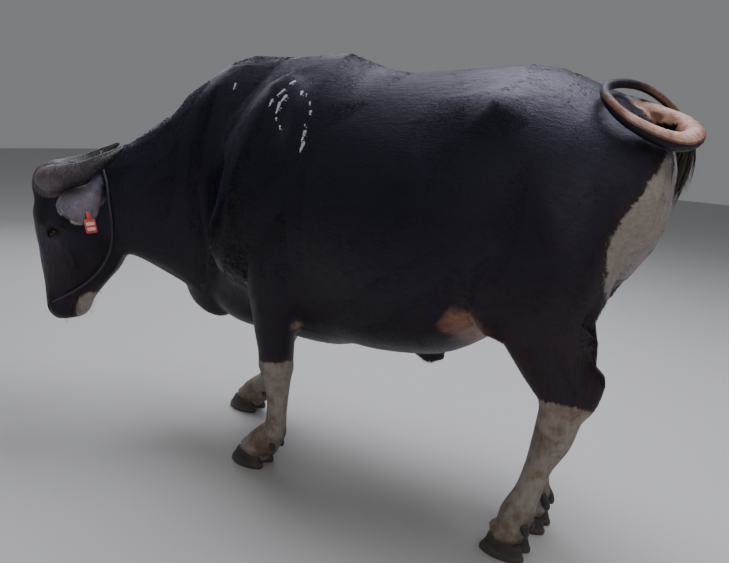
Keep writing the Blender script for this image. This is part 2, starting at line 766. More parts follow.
def eye_plane(side):
    """Out of the eye, along the opening towards its inner corner, and up across it."""
    axis = eye_axis(side)
    along = (NOSE * 0.5 + BROW * 0.86)
    along = (along - axis * along.dot(axis)).normalized()
    up = axis.cross(along).normalized()
    return axis, along, up if up.dot(NOSE) < 0 else -up


def lid_shells(mesh, side):
    axis, along, up = (np.array(way) for way in eye_plane(side))
    co = points_of(mesh)
    centre = np.array(eye_centre(side))
    rel = co - centre
    far = np.linalg.norm(rel, axis=1)
    close = far < 0.075
    rel, far = rel[close], far[close]
    out = rel @ axis / far
    shell = EYE_RADIUS + LID_THICK
    wanted = np.where(out > 0.0, shell * np.clip(out * 2.2, 0, 1) ** 0.25, 0)
    soft = 0.0022
    raised = np.logaddexp(far / soft, wanted / soft) * soft
    u, v = rel @ along, rel @ up
    front = np.clip(out * 1.6, 0, 1)
    fold = np.zeros(len(far))
    span = np.clip(1 - (u / LID_FOLD_REACH) ** 2, 0, 1)
    for rise, depth, width in LID_FOLDS:
        fold += depth * hump(v, rise * np.sqrt(span), width) * span
    tear_duct = hump(u, 0.026, 0.01) * hump(v, -0.004, 0.0035)
    raised = raised + (fold - 0.0022 * tear_duct) * front
    moved = co.copy()
    moved[close] = centre + rel * (raised / far)[:, None]
    move_points(mesh, moved)


def almond(side, grow=0.0):
    """Outline of the opening: blunt at the outer corner, drawn out to the tear duct at the inner."""
    axis, along, up = eye_plane(side)
    ring = []
    for i in range(64):
        angle = 2 * math.pi * i / 64
        c, s = math.cos(angle), math.sin(angle)
        u = 0.0174 * c + (0.0038 * c**5 if c > 0 else 0)
        lift = (0.011 if s > 0 else 0.0088) * s * abs(s) ** 0.15 * (1 - 0.25 * max(0, c) ** 3)
        droop = -0.002 * max(0, c) ** 3
        ring.append((u * (1 + grow), (lift + droop) * (1 + grow)))
    return ring


def cut_eye(obj, side):
    axis, along, up = eye_plane(side)
    socket = ball("socket", Matrix.Translation(eye_centre(side)), EYE_RADIUS + 0.0003, 64, 40)
    boolean(obj, "DIFFERENCE", socket)
    rings = []
    for depth, grow in ((0.002, 0.0), (0.0185, 0.0), (0.0215, 0.05), (0.0245, 0.16), (0.045, 0.5)):
        rings.append([eye_centre(side) + axis * depth + along * u + up * v for u, v in almond(side, grow)])
    boolean(obj, "DIFFERENCE", loft("opening", rings))


for side in (LEFT, RIGHT):
    lid_shells(skin.data, side)
print("lids stand", LID_THICK * 1000, "mm over the eyeballs")

# %% [markdown]
# A sleek coat hides little of the body. The folds between neck and shoulder are the strongest, because
# the head is turned and lowered. Behind them come the shoulder blade, the elbow, faint ribs, the hollow
# of the flank, the groove down the thigh, and on the legs the tendons behind the cannon bones.

# %% Sculpt the body
NECK_FOLDS = [
    (
        [(-0.21, 0.09, 1.25), (-0.276, 0.129, 1.184), (-0.295, 0.176, 1.071), (-0.294, 0.198, 0.956),
         (-0.297, 0.197, 0.825), (-0.3, 0.184, 0.75), (-0.265, 0.143, 0.662)],
        0.028,
        0.009,
    ),
    (
        [(-0.23, 0.13, 1.19), (-0.244, 0.175, 1.07), (-0.246, 0.2, 0.956), (-0.248, 0.205, 0.845)],
        0.024,
        -0.0065,
    ),
    (
        [(-0.076, 0.228, 1.11), (-0.15, 0.21, 1.02), (-0.212, 0.195, 0.938), (-0.259, 0.19, 0.839)],
        0.03,
        0.008,
    ),
    ([(-0.345, 0.13, 1.1), (-0.352, 0.165, 0.98), (-0.352, 0.165, 0.85), (-0.34, 0.14, 0.75)], 0.022, -0.007),
    ([(-0.15, 0.19, 1.14), (-0.12, 0.235, 1.02), (-0.17, 0.23, 0.9), (-0.21, 0.22, 0.78)], 0.024, -0.005),
    ([(-0.52, 0.3, 0.93), (-0.54, 0.325, 0.82), (-0.545, 0.31, 0.72)], 0.012, -0.004),
    ([(-0.49, 0.28, 0.95), (-0.508, 0.305, 0.83), (-0.512, 0.29, 0.7)], 0.013, 0.0035),
    ([(-0.455, 0.25, 0.98), (-0.47, 0.275, 0.84), (-0.47, 0.26, 0.7)], 0.014, -0.0035),
]
BODY_SWELLS = [
    ((0.11, 0.24, 0.8), (0.09, 0.08, 0.12), 0.009),
    ((0.215, 0.29, 0.98), (0.05, 0.1, 0.19), -0.01),
    ((0.16, 0.225, 0.6), (0.03, 0.04, 0.035), 0.009),
    ((0.66, 0.26, 1.1), (0.085, 0.1, 0.09), -0.006),
    ((0.6, 0.3, 0.98), (0.08, 0.1, 0.1), 0.005),
    ((1.11, 0.11, 1.11), (0.035, 0.035, 0.035), 0.009),
    ((1.06, 0.062, 1.19), (0.045, 0.022, 0.03), -0.008),
    ((1.0, 0.05, 1.245), (0.06, 0.06, 0.05), 0.009),
    ((0.8, 0.24, 0.69), (0.045, 0.04, 0.05), 0.006),
    ((1.12, 0.0, 1.06), (0.04, 0.03, 0.09), -0.008),
]
BODY_RIDGES = [
    ([(0.06, 0.17, 1.24), (0.02, 0.23, 1.1), (-0.03, 0.26, 0.96), (-0.08, 0.27, 0.82)], 0.026, 0.0055),
    ([(0.14, 0.21, 1.17), (0.15, 0.26, 1.02), (0.17, 0.27, 0.88), (0.185, 0.25, 0.72)], 0.022, -0.005),
    ([(0.7, 0.27, 0.63), (0.735, 0.27, 0.72), (0.75, 0.28, 0.84), (0.74, 0.29, 0.96)], 0.024, 0.0085),
    ([(0.66, 0.26, 0.64), (0.685, 0.27, 0.74), (0.69, 0.28, 0.86)], 0.022, -0.006),
    ([(1.0, 0.2, 1.11), (1.02, 0.23, 0.96), (1.0, 0.23, 0.82), (0.96, 0.22, 0.7)], 0.018, -0.0055),
    ([(0.84, 0.26, 1.12), (0.86, 0.29, 0.98), (0.85, 0.29, 0.82)], 0.024, -0.0045),
    ([(0.45, 0.0, 1.32), (0.7, 0.0, 1.33), (0.95, 0.0, 1.28)], 0.022, -0.004),
    ([(-0.24, 0.0, 0.44), (-0.1, 0.0, 0.4), (0.06, 0.0, 0.41)], 0.016, -0.006),
    ([(-0.42, 0.14, 0.7), (-0.36, 0.12, 0.6), (-0.3, 0.1, 0.52)], 0.014, -0.0045),
]
RIBS = []
for k in range(8):
    rib = [(0.27 + 0.052 * k, 0.27, 1.14), (0.27 + 0.056 * k, 0.33, 0.95), (0.25 + 0.06 * k, 0.33, 0.72)]
    RIBS.append((rib, 0.013, 0.0016))


def bend_of(rows, height):
    """Middle of a limb at each height, from its stations."""
    table = np.array(rows)[::-1]
    return np.interp(height, table[:, 2], table[:, 0]), np.interp(height, table[:, 2], table[:, 1])


def sculpt_body(mesh):
    co = points_of(mesh)
    folded = both_sides(co, 1)
    behind_jaw = np.clip(0.5 - before_jaw(head_places(co)) / 0.03, 0, 1)
    amount = np.zeros(len(co))
    for line, width, height in NECK_FOLDS:
        strength = np.where(co[:, 1] < 0.02, 1.0, 0.45)
        amount += height * strength * ridge(folded, line, width)
    for centre, reach, height in BODY_SWELLS:
        amount += height * bell(folded, centre, reach)
    for line, width, height in BODY_RIDGES + RIBS:
        amount += height * ridge(folded, line, width)
    push(mesh, amount * behind_jaw)


def sculpt_leg(mesh, rows, tendon_top, hock_height):
    """Tendon grooves behind the cannon bone, and bones at the joint above it."""
    co = points_of(mesh)
    low = (co[:, 2] < 0.66) & (co[:, 2] > 0.03)
    middle_x, middle_y = bend_of(rows, co[:, 2])
    low &= (np.abs(co[:, 0] - middle_x) < 0.13) & (np.abs(co[:, 1] - middle_y) < 0.075)
    dx = (co[:, 0] - middle_x)[low]
    dy = (co[:, 1] - middle_y)[low]
    z = co[low, 2]
    sideways = np.clip(np.abs(dy) / 0.02, 0, 1)
    cannon = np.clip((z - 0.135) / 0.03, 0, 1) * np.clip((tendon_top - z) / 0.05, 0, 1)
    total = -0.0034 * hump(dx, 0.011, 0.0065) * sideways * cannon
    total += -0.0016 * hump(dx, 0.027, 0.004) * sideways * cannon
    total += 0.004 * hump(z, hock_height, 0.03) * hump(dx, -0.035, 0.025)
    total += 0.0035 * hump(z, hock_height - 0.02, 0.022) * sideways
    total += 0.005 * hump(z, 0.125, 0.024) * hump(dx, 0.035, 0.03)
    total += -0.003 * hump(z, 0.088, 0.012) * np.clip(-dx / 0.03, -0.4, 1)
    total += 0.0026 * hump(z, 0.06, 0.01)
    above = np.clip((z - hock_height - 0.045) / 0.04, 0, 1) * np.clip((hock_height + 0.22 - z) / 0.06, 0, 1)
    total += -0.0075 * hump(dx, 0.034, 0.013) * above * sideways * (hock_height > 0.42)
    amount = np.zeros(len(co))
    amount[low] = total
    push(mesh, amount)


sculpt_body(skin.data)
for side in (LEFT, RIGHT):
    sculpt_leg(skin.data, fore_leg_rows(side), 0.345, 0.385)
    sculpt_leg(skin.data, hind_leg_rows(side), 0.4, 0.44)

# %% [markdown]
# A spatter of pale dried mud runs down behind the shoulder. Each fleck is a short line: its middle, its
# way, its length and its half width.

# %% Mud flecks
FLECKS = [
    ((-0.167, -0.125, 1.223), (0.1, -0.02, -1.0), 0.022, 0.0045),
    ((0.101, -0.18, 1.239), (-0.6, -0.1, -0.8), 0.022, 0.004),
    ((0.08, -0.206, 1.208), (-0.55, -0.1, -0.8), 0.028, 0.0045),
    ((0.06, -0.224, 1.176), (-0.15, -0.1, -1.0), 0.022, 0.0045),
    ((0.097, -0.213, 1.192), (-0.45, -0.1, -0.9), 0.022, 0.005),
    ((0.088, -0.226, 1.163), (-0.1, -0.1, -1.0), 0.034, 0.005),
    ((0.092, -0.236, 1.13), (0.2, -0.1, -1.0), 0.008, 0.0035),
    ((0.109, -0.24, 1.108), (0.2, -0.1, -1.0), 0.01, 0.003),
    ((0.14, -0.186, 1.21), (-0.1, -0.1, -1.0), 0.012, 0.0045),
    ((0.155, -0.185, 1.206), (0.1, -0.1, -1.0), 0.01, 0.0025),
    ((0.175, -0.195, 1.182), (0.25, -0.1, -1.0), 0.014, 0.003),
    ((0.187, -0.206, 1.156), (0.2, -0.1, -1.0), 0.01, 0.005),
    ((0.181, -0.226, 1.122), (0.2, -0.1, -1.0), 0.006, 0.003),
    ((0.186, -0.238, 1.092), (-0.1, -0.1, -1.0), 0.03, 0.0055),
    ((0.19, -0.249, 1.062), (-0.15, -0.1, -1.0), 0.026, 0.0065),
]
print("flecks", len(FLECKS))

# %% [markdown]
# Now the net is far finer than most of the body needs. Faces are merged where the surface is nearly
# flat, and kept on the head and legs, where a weight holds them.

# %% Thin the net
SKIN_TRIANGLES = 152000


def thin(obj, triangles, hold):
    """Merges faces down to a number of triangles; a hold of 1 keeps a point's faces, 0 lets them go."""
    group = obj.vertex_groups.new(name="loose")
    steps = 8
    level = np.round((1 - hold) * steps).astype(int)
    for k in range(1, steps + 1):
        group.add(np.flatnonzero(level == k).tolist(), k / steps, "REPLACE")
    change = obj.modifiers.new("thin", "DECIMATE")
    now = sum(len(face.vertices) - 2 for face in obj.data.polygons)
    change.ratio = triangles / now
    change.vertex_group = group.name
    change.vertex_group_factor = 4
    change.use_collapse_triangulate = True
    apply_modifiers(obj)
    obj.vertex_groups.clear()


co = points_of(skin.data)
hold = np.where(delicate(co), 0.8, np.where(on_the_head(co), 0.55, np.where(co[:, 2] < 0.55, 0.3, 0.0)))
near_flecks = [np.linalg.norm(co - np.array(place), axis=1) < 0.03 for place, *rest in FLECKS]
hold = np.where(np.any(near_flecks, axis=0), 1.0, hold)
thin(skin, SKIN_TRIANGLES, hold)
print("thinned skin", len(skin.data.polygons), "triangles")

# %% [markdown]
# The plain solids stand for the animal with its coat on. The skin therefore lies inside them by the
# depth of the coat: about two millimetres over the body, half of that on the face and lower legs.

# %% Draw the skin in
def coat_depth(co):
    body = np.where(co[:, 2] < 0.5, 0.0012, 0.002)
    return np.where(on_the_head(co), 0.0008, body)


push(skin.data, -coat_depth(points_of(skin.data)))
print("skin lies", coat_depth(points_of(skin.data)).max() * 1000, "mm deep")

# %% [markdown]
# The flecks are smaller than the squares of the net, so the net is cut finer round each of them, and
# their lines are laid down on the skin itself.

# %% Flecks on the skin


def fleck_lines(tree):
    lines = []
    for place, way, length, half in FLECKS:
        run = Vector(way).normalized() * length / 2
        ends = [np.array(tree.find_nearest(Vector(place) + run * sign)[0]) for sign in (-1, 1)]
        lines.append((*ends, half))
    return lines


def fleck_distance(co):
    """How far inside the nearest fleck's edge each point is; less than 0 is outside."""
    best = np.full(len(co), -0.05)
    for start, end, half in FLECKS_ON_SKIN:
        run = end - start
        t = np.clip((co - start) @ run / (run @ run), 0, 1)
        best = np.maximum(best, half * (1 - 0.5 * t) - np.linalg.norm(co - start - t[:, None] * run, axis=1))
    return best


FLECKS_ON_SKIN = fleck_lines(tree_of(skin))
for reach in (0.01, 0.005):
    refine(skin, lambda co: fleck_distance(co) > -reach)
print("skin with flecks", len(skin.data.polygons), "faces")

# %% [markdown]
# The bull stands with its tail flung round its own root in a loose coil. It is one more loft whose
# stations carry only a place and a radius, with rings that are carried along the bend without twist.

# %% Tail
TAIL_STATIONS = [
    (0.9, 0.0, 1.205, 0.036),
    (1.0, 0.0, 1.216, 0.035),
    (1.08, 0.003, 1.2, 0.032),
    (1.14, -0.008, 1.18, 0.03),
    (1.17, -0.052, 1.16, 0.027),
    (1.15, -0.112, 1.145, 0.0245),
    (1.104, -0.157, 1.156, 0.0215),
    (1.041, -0.184, 1.187, 0.018),
    (0.994, -0.178, 1.225, 0.015),
    (0.974, -0.132, 1.257, 0.0135),
    (0.996, -0.072, 1.272, 0.013),
    (1.038, -0.012, 1.268, 0.0125),
    (1.078, 0.045, 1.243, 0.012),
    (1.112, 0.095, 1.208, 0.0115),
    (1.128, 0.15, 1.16, 0.011),
    (1.122, 0.195, 1.105, 0.0105),
]
HAIR_DEPTH = 0.002
TAIL_STEPS = 8
SWITCH_STATION = 14


def carried_frames(points):
    """At each point: the way along, and an up that turns with the path and never twists."""
    ways = directions(points)
    up = Vector((0, 0, 1)) if abs(ways[0].z) < 0.9 else Vector((1, 0, 0))
    frames = []
    for i, way in enumerate(ways):
        if i:
            up = ways[i - 1].rotation_difference(way) @ up
        up = (up - way * way.dot(up)).normalized()
        frames.append((points[i], way, up))
    return frames


def tube(name, points, radii, sides=16):
    rings = []
    for (point, way, up), radius in zip(carried_frames(points), radii):
        rings.append(ring_at(point, way.cross(up), up, radius, radius, radius, sides=sides))
    return loft(name, rings)


tail_rows = smooth_stations(TAIL_STATIONS, TAIL_STEPS)
tail_path = [Vector(row[:3]) for row in tail_rows]
tail_frames = carried_frames(tail_path)
tail_radii = []
for k, row in enumerate(tail_rows):
    crease = max(0.0, 1 - k / 60) * 0.035 * math.sin(2 * math.pi * k / 3.4)
    tail_radii.append((row[3] - HAIR_DEPTH) * (1 + crease))
tail_end = TAIL_STEPS * SWITCH_STATION
tail_shape = tube("tail", tail_path[:tail_end], tail_radii[:tail_end], 36)
print("tail", round(sum((b - a).length for a, b in zip(tail_path, tail_path[1:])), 2), "m along its coil")

# %% [markdown]
# A cow's ear is a leaf-shaped cup on a short stalk: its edges curl forwards, tight at the root and
# open towards the tip. It is a thin shell between two rows of points, joined into the skin.

# %% Ears
EAR_ROOT = (0.045, -0.14, 0.102)
EAR_LENGTH = 0.175
EAR_STATIONS = [
    (0.0, 0.03, 2.3),
    (0.15, 0.04, 2.0),
    (0.32, 0.052, 1.6),
    (0.5, 0.06, 1.25),
    (0.68, 0.056, 1.0),
    (0.84, 0.047, 0.8),
    (0.95, 0.031, 0.6),
    (1.0, 0.014, 0.5),
]
EAR_COLUMNS = 33
CUP_TURN = 0.62
CUP_THINNING = 0.62


def ear_axes(side):
    """Out along the ear, out of its back, and across it."""
    out = (CHEEK * -side * 0.62 + BROW * 0.56 + NOSE * 0.5).normalized()
    back = (CHEEK * -side * 0.45 - BROW * 0.5 - NOSE * 0.74).normalized()
    back = (back - out * back.dot(out)).normalized()
    return out, back, out.cross(back)


def ear_root(side):
    return on_head(EAR_ROOT[0], EAR_ROOT[1], -side * EAR_ROOT[2])


def ear_stalk(side):
    out, back, across = ear_axes(side)
    rings = []
    for depth, half in ((-0.05, 0.03), (-0.02, 0.028), (0.012, 0.027), (0.04, 0.028), (0.06, 0.024)):
        middle = ear_root(side) + out * depth - back * max(0, depth - 0.012) * 0.1
        rings.append(ring_at(middle, across, back, half, half * 0.8, half * 0.8, sides=28))
    return loft("ear_stalk", rings)


def cup_station(side, share, half, curl):
    """Middle of the arc, its radius and the cup's thickness at a share of the ear's length."""
    out, back, across = ear_axes(side)
    radius = half / (curl * 0.55)
    middle = ear_root(side) + out * (0.018 + share * (EAR_LENGTH - 0.018))
    middle += back * (0.016 - 0.022 * share * share)
    return middle - back * radius, radius, 0.0066 - 0.0034 * share


def ear_cup(side):
    out, back, across = ear_axes(side)
    stations = smooth_stations(EAR_STATIONS, 5)
    outer, inner = [], []
    for share, half, curl in stations:
        centre, radius, thick = cup_station(side, share, half, curl)
        row_out, row_in = [], []
        for k in range(EAR_COLUMNS):
            edge = 2 * k / (EAR_COLUMNS - 1) - 1
            turn = curl * edge * CUP_TURN
            ripple = 0.0012 * math.sin(5 * edge + 9 * share) * share
            way = across * math.sin(turn) + back * math.cos(turn)
            depth = thick * (1 - CUP_THINNING * edge * edge)
            row_out.append(centre + way * (radius + ripple))
            row_in.append(centre + way * (radius + ripple - depth))
        outer.append(row_out)
        inner.append(row_in)
    rings = [a + b[::-1] for a, b in zip(outer, inner)]
    return loft("ear_cup", rings)


# %% [markdown]
# Tail and ears are finer than the net of the body, so each is joined to it with a Boolean union, and
# only the points near the joint are relaxed until no crease is left.

# %% Join tail and ears
def near(co, place, reach):
    """1 at a place, falling smoothly to 0 at its reach."""
    far = np.linalg.norm(co - np.array(place), axis=1) / reach
    return np.clip(1 - far, 0, 1) ** 2 * (1 + 2 * np.clip(far, 0, 1))


boolean(skin, "UNION", tail_shape)
co = points_of(skin.data)
relax(skin.data, 22, 0.5 * near(co, (1.075, 0, 1.21), 0.09))
for side in (LEFT, RIGHT):
    stalk = ear_stalk(side)
    boolean(stalk, "UNION", ear_cup(side))
    stalk_co = points_of(stalk.data)
    relax(stalk.data, 4, 0.4 * near(stalk_co, ear_root(side) + ear_axes(side)[0] * 0.045, 0.05))
    boolean(skin, "UNION", stalk)
    co = points_of(skin.data)
    relax(skin.data, 10, 0.5 * near(co, ear_root(side), 0.045))
print("skin with tail and ears", len(skin.data.vertices), "points")

# %% [markdown]
# Cuts come after the clay, because a cut keeps a crisp edge only if nothing is relaxed over it later.
# The nostrils are commas bored into the muzzle, and the mouth is a narrow slit round the lips.

# %% Cut eyes, nostrils and mouth
def nostril(side, radius, out_shift):
    """Comma-shaped opening on the front corner of the muzzle."""
    out = (BROW * 0.62 + CHEEK * -side * 0.78).normalized()
    stations = [
        (0.449, 0.024, 0.047, 0.22),
        (0.455, 0.029, 0.045, 0.5),
        (0.464, 0.034, 0.043, 0.85),
        (0.475, 0.038, 0.038, 1.0),
        (0.485, 0.036, 0.033, 0.85),
        (0.492, 0.03, 0.028, 0.5),
        (0.494, 0.024, 0.027, 0.22),
    ]
    rows = smooth_stations(stations, 4)
    points = [on_head(d, f, -side * l) + out * out_shift for d, f, l, size in rows]
    return tube("nostril", points, [radius * row[3] for row in rows], 24)


def mouth_path(tree):
    """Along the muzzle's surface from one corner of the mouth round the lips to the other."""
    points = []
    steps = 60
    for i in range(steps + 1):
        t = 2 * i / steps - 1
        reach = abs(t)
        down = HEAD_LENGTH - 0.012 - 0.098 * reach**1.6
        forward = -0.004 - 0.062 * reach**1.3
        ease = min(1, reach / 0.6)
        swing = math.copysign(ease * ease * (3 - 2 * ease) * math.pi / 2, t)
        way = CHEEK * math.sin(swing) + NOSE * math.cos(swing)
        start = on_head(min(down, HEAD_LENGTH - 0.03), forward)
        hit = tree.ray_cast(start + way * 0.3, -way)[0]
        if hit is not None:
            points.append(hit)
    return points


mouth = mouth_path(tree_of(skin))
mouth_radii = [0.0024 * min(1, 0.3 + 8 * min(k, len(mouth) - 1 - k) / len(mouth)) for k in range(len(mouth))]
boolean(skin, "DIFFERENCE", tube("mouth", mouth, mouth_radii, 10))
for side in (LEFT, RIGHT):
    boolean(skin, "DIFFERENCE", nostril(side, 0.0115, 0.004))
    cut_eye(skin, side)
print("cut skin", len(skin.data.vertices), "points")

# %% [markdown]
# Horn is layered like a stack of cones: rough and ringed at the base, smooth towards the tip. The rings
# are real relief, made by letting each ring's radius swell and shrink a little.

# %% Horns
HORN_STATIONS = [
    (0.04, 0.01, 0.045, 0.05, 0.046),
    (0.034, 0.004, 0.085, 0.049, 0.046),
    (0.026, -0.012, 0.118, 0.045, 0.042),
    (0.014, -0.05, 0.145, 0.039, 0.036),
    (-0.004, -0.1, 0.158, 0.033, 0.03),
    (-0.028, -0.142, 0.16, 0.025, 0.023),
    (-0.051, -0.18, 0.155, 0.016, 0.015),
    (-0.072, -0.21, 0.148, 0.006, 0.006),
]


def horn(side):
    rows = smooth_stations(HORN_STATIONS, 16)
    points = [on_head(row[0], row[1], side * -row[2]) for row in rows]
    rings = []
    for k, (point, way, row) in enumerate(zip(points, directions(points), rows)):
        share = k / (len(rows) - 1)
        up = (-NOSE - way * -NOSE.dot(way)).normalized()
        across = way.cross(up)
        rough = max(0.0, 1 - share * 1.7)
        ring = []
        for i in range(40):
            angle = 2 * math.pi * i / 40
            annual = 0.03 * math.sin(46 * share + 0.7 * math.sin(2 * angle + side)) * rough
            knobs = 0.032 * math.sin(7 * angle + 31 * share) * math.sin(23 * share + 3 * angle) * rough**2
            swell = 1 + annual + knobs
            ring.append(point + (across * math.sin(angle) * row[3] + up * math.cos(angle) * row[4]) * swell)
        rings.append(ring)
    tip = points[-1] + directions(points)[-1] * 0.006
    rings.append([tip + (p - points[-1]) * 0.35 for p in rings[-1]])
    piece = loft(f"horn_{SIDE_NAME[side]}_dressed", rings)
    keep_numbers(piece.data, {"tipward": np.repeat(np.linspace(0, 1, len(rings)), 40)})
    return piece


horns = {side: horn(side) for side in (LEFT, RIGHT)}

# %% [markdown]
# The eyeball is a ball with the clear cornea bulging a little out of its front. Each point keeps how far
# it lies along and across the opening, so that the material can draw iris and pupil upright in it.

# %% Eyeballs
def dressed_eye(side):
    axis, along, up = (np.array(way) for way in eye_plane(side))
    centre = np.array(eye_centre(side))
    piece = ball(f"eye_{SIDE_NAME[side]}_dressed", Matrix.Translation(centre), EYE_RADIUS, 96, 64)
    way = (points_of(piece.data) - centre) / EYE_RADIUS
    across = np.stack([way @ along, way @ up], 1) * EYE_RADIUS
    bulge = 0.0011 * np.clip(1 - (np.linalg.norm(across, axis=1) / 0.0115) ** 2, 0, 1) * (way @ axis > 0)
    move_points(piece.data, centre + way * (EYE_RADIUS + bulge)[:, None])
    behind = np.where(way @ axis > 0, 0, 1)
    keep_numbers(piece.data, {"eye_across": across[:, 0] + behind, "eye_rise": across[:, 1]})
    return piece


eyes = {side: dressed_eye(side) for side in (LEFT, RIGHT)}
print("eyeballs", round(EYE_RADIUS * 2000, 1), "mm across")

# %% [markdown]
# A cloven hoof is two claws side by side. Each stands on a flat sole, slopes at the front, is nearly
# straight on the inner side and ends above in a soft slanting hair line. Fine growth ridges run round it.

# %% Hooves
HOOF_LENGTH, HOOF_WIDTH, HOOF_SPREAD = 0.128, 0.052, 0.029


def claw(name, foot, spread):
    ahead, over = Vector((-1, 0, 0)), Vector((0, -1, 0))
    rings = []
    shares = [0.0, 0.02, 0.06] + [0.1 + 0.9 * k / 22 for k in range(23)]
    for share in shares:
        swell = 1.0 + 0.03 * math.sin(math.pi * min(1, share * 2)) - 0.14 * max(0, share - 0.3) / 0.7
        swell -= 0.05 * max(0, 0.06 - share) / 0.06
        ridge = 1 + 0.006 * math.sin(share * 40) * min(1, share * 4)
        ring = []
        for i in range(48):
            angle = 2 * math.pi * i / 48
            along, across = math.cos(angle), math.sin(angle)
            inner = across * spread < 0
            half = HOOF_WIDTH / 2 * (0.82 if inner else 1.0)
            taper = 1 - 0.38 * max(0.0, along) ** 2
            x = along * HOOF_LENGTH / 2 * swell * ridge - 0.01 * share * (1 + along)
            y = across * half * taper * swell * ridge
            point = foot + over * spread + ahead * x + over * y
            point.z = share * (0.052 + 0.2 * (point - foot).dot(ahead))
            ring.append(point)
        rings.append(ring)
    piece = loft(name, rings)
    keep_numbers(piece.data, {"tipward": np.repeat(1 - np.array(shares), 48)})
    return piece


claws = {}
for side in (LEFT, RIGHT):
    for limb_name, foot in (("fore_leg", FORE_FOOT[side]), ("hind_leg", HIND_FOOT[side])):
        for label, spread in (("inner", HOOF_SPREAD), ("outer", -HOOF_SPREAD)):
            node = f"hoof_{limb_name}_{SIDE_NAME[side]}_{label}"
            claws[node] = claw(f"{node}_dressed", foot, spread * -side)
print("claws", len(claws))

# %% [markdown]
# Behind each fetlock hang two dewclaws, small blunt cones of horn that never touch the ground.

# %% Dewclaws
def dewclaw(name, middle):
    """A blunt cone that points down and back."""
    down = Vector((0.42, 0, -0.91)).normalized()
    back = Vector((0.91, 0, 0.42)).normalized()
    rings = []
    shares = (-0.4, 0.0, 0.25, 0.5, 0.75, 0.92, 1.0)
    for share, half in zip(shares, (0.75, 0.95, 1.0, 0.96, 0.8, 0.52, 0.22)):
        wide = 0.0115 * half * (1 + 0.02 * math.sin(share * 24))
        point = middle + down * (share - 0.5) * 0.038
        rings.append(ring_at(point, Vector((0, 1, 0)), back, wide, 0.014 * half, 0.01 * half))
    piece = loft(name, rings)
    keep_numbers(piece.data, {"tipward": np.repeat(np.linspace(0, 1, len(rings)), 32)})
    return piece


dewclaws = []
for side in (LEFT, RIGHT):
    for limb_name, foot, behind in (("fore", FORE_FOOT[side], 0.098), ("hind", HIND_FOOT[side], 0.056)):
        for label, outward in (("inner", 0.023), ("outer", -0.023)):
            middle = foot + Vector((behind, outward * -side, 0.092))
            dewclaws.append(dewclaw(f"dewclaw_{limb_name}_{SIDE_NAME[side]}_{label}", middle))

# %% [markdown]
# Hair is drawn as blades: thin ribbons that start in the hide, bend as they fall and run out to a point.
# One function makes thousands of them at once from arrays of roots, ways, lengths and widths, and gives
# each blade the small patch of the texture map at its root's own place.

# %% Blades of hair
BAKE_MAP = "OFBake"
BAKE_PATCH = 0.003


def unit(rows):
    return rows / np.maximum(np.linalg.norm(rows, axis=1, keepdims=True), 1e-9)


def blades(name, root, way, fall, length, width, flat, steps=4, map_place=None, shine=None):
    """Ribbons from roots that start along a way and turn to a fall; flat is their broad side's normal.

    With a shine given, every blade takes the light as if it faced that way, so that a sleek coat of many
    blades shades softly like the hide below it.
    """
    count = len(root)
    rows = []
    point = root.copy()
    for k in range(steps + 1):
        t = k / steps
        along = unit(way * (1 - t) + fall * t)
        across = unit(np.cross(along, flat))
        if k:
            point = point + along * (length / steps)[:, None]
        thin = math.sin(math.pi * (0.2 + 0.62 * t)) * (1 - t**3)
        if k < steps:
            rows.append(point - across * (width * thin / 2)[:, None])
            rows.append(point + across * (width * thin / 2)[:, None])
        else:
            rows.append(point)
    co = np.stack(rows, 1).reshape(-1, 3)
    per = 2 * steps + 1
    base = (np.arange(count) * per)[:, None]
    corners, sizes = [], []
    for k in range(steps - 1):
        quad = np.array([2 * k, 2 * k + 1, 2 * k + 3, 2 * k + 2])
        corners.append(base + quad)
        sizes.append(np.full(count, 4))
    corners.append(base + np.array([2 * steps - 2, 2 * steps - 1, 2 * steps]))
    sizes.append(np.full(count, 3))
    loops = np.concatenate([c.ravel() for c in corners])
    totals = np.concatenate(sizes)
    data = bpy.data.meshes.new(name)
    data.vertices.add(len(co))
    data.vertices.foreach_set("co", co.ravel())
    data.loops.add(len(loops))
    data.loops.foreach_set("vertex_index", loops)
    data.polygons.add(len(totals))
    data.polygons.foreach_set("loop_start", np.concatenate([[0], np.cumsum(totals)[:-1]]))
    if map_place is not None:
        data.uv_layers.new(name=BAKE_MAP)
        offsets = np.array([((-1, 1)[i % 2] * (i < 2 * steps), 2 * (i // 2) / steps - 1) for i in range(per)])
        spots = (map_place[:, None, :] + offsets * BAKE_PATCH / 2).reshape(-1, 2)
        data.uv_layers[BAKE_MAP].data.foreach_set("uv", spots[loops].ravel())
    data.update(calc_edges=True)
    data.validate()
    if shine is not None:
        facing = data.attributes.new("custom_normal", "FLOAT_VECTOR", "POINT")
        facing.data.foreach_set("vector", np.repeat(shine, per, axis=0).ravel())
        data.update()
    return linked(name, data)


def keep_on_blades(piece, steps, numbers):
    """Hands the numbers of each root on to every point of its blade."""
    keep_numbers(piece.data, {name: np.repeat(values, 2 * steps + 1) for name, values in numbers.items()})


# %% [markdown]
# The markings name the breed: black coat, pale stockings below knee and hock, and a pale oval on the
# rump. Each marking is stored on the skin's points as a number, the distance in metres inside its edge,
# so that the material can draw a sharp, slightly ragged edge at any scale. The same numbers are handed
# on to the hair that grows there.

# %% Markings
RUMP_EDGE = [
    (0.7, 1.075),
    (0.818, 1.064),
    (0.86, 1.057),
    (0.904, 1.058),
    (0.948, 1.067),
    (0.998, 1.094),
    (1.04, 1.124),
    (1.075, 1.137),
    (1.13, 1.142),
]


def step(value, start, end):
    t = np.clip((value - start) / (end - start), 0, 1)
    return t * t * (3 - 2 * t)


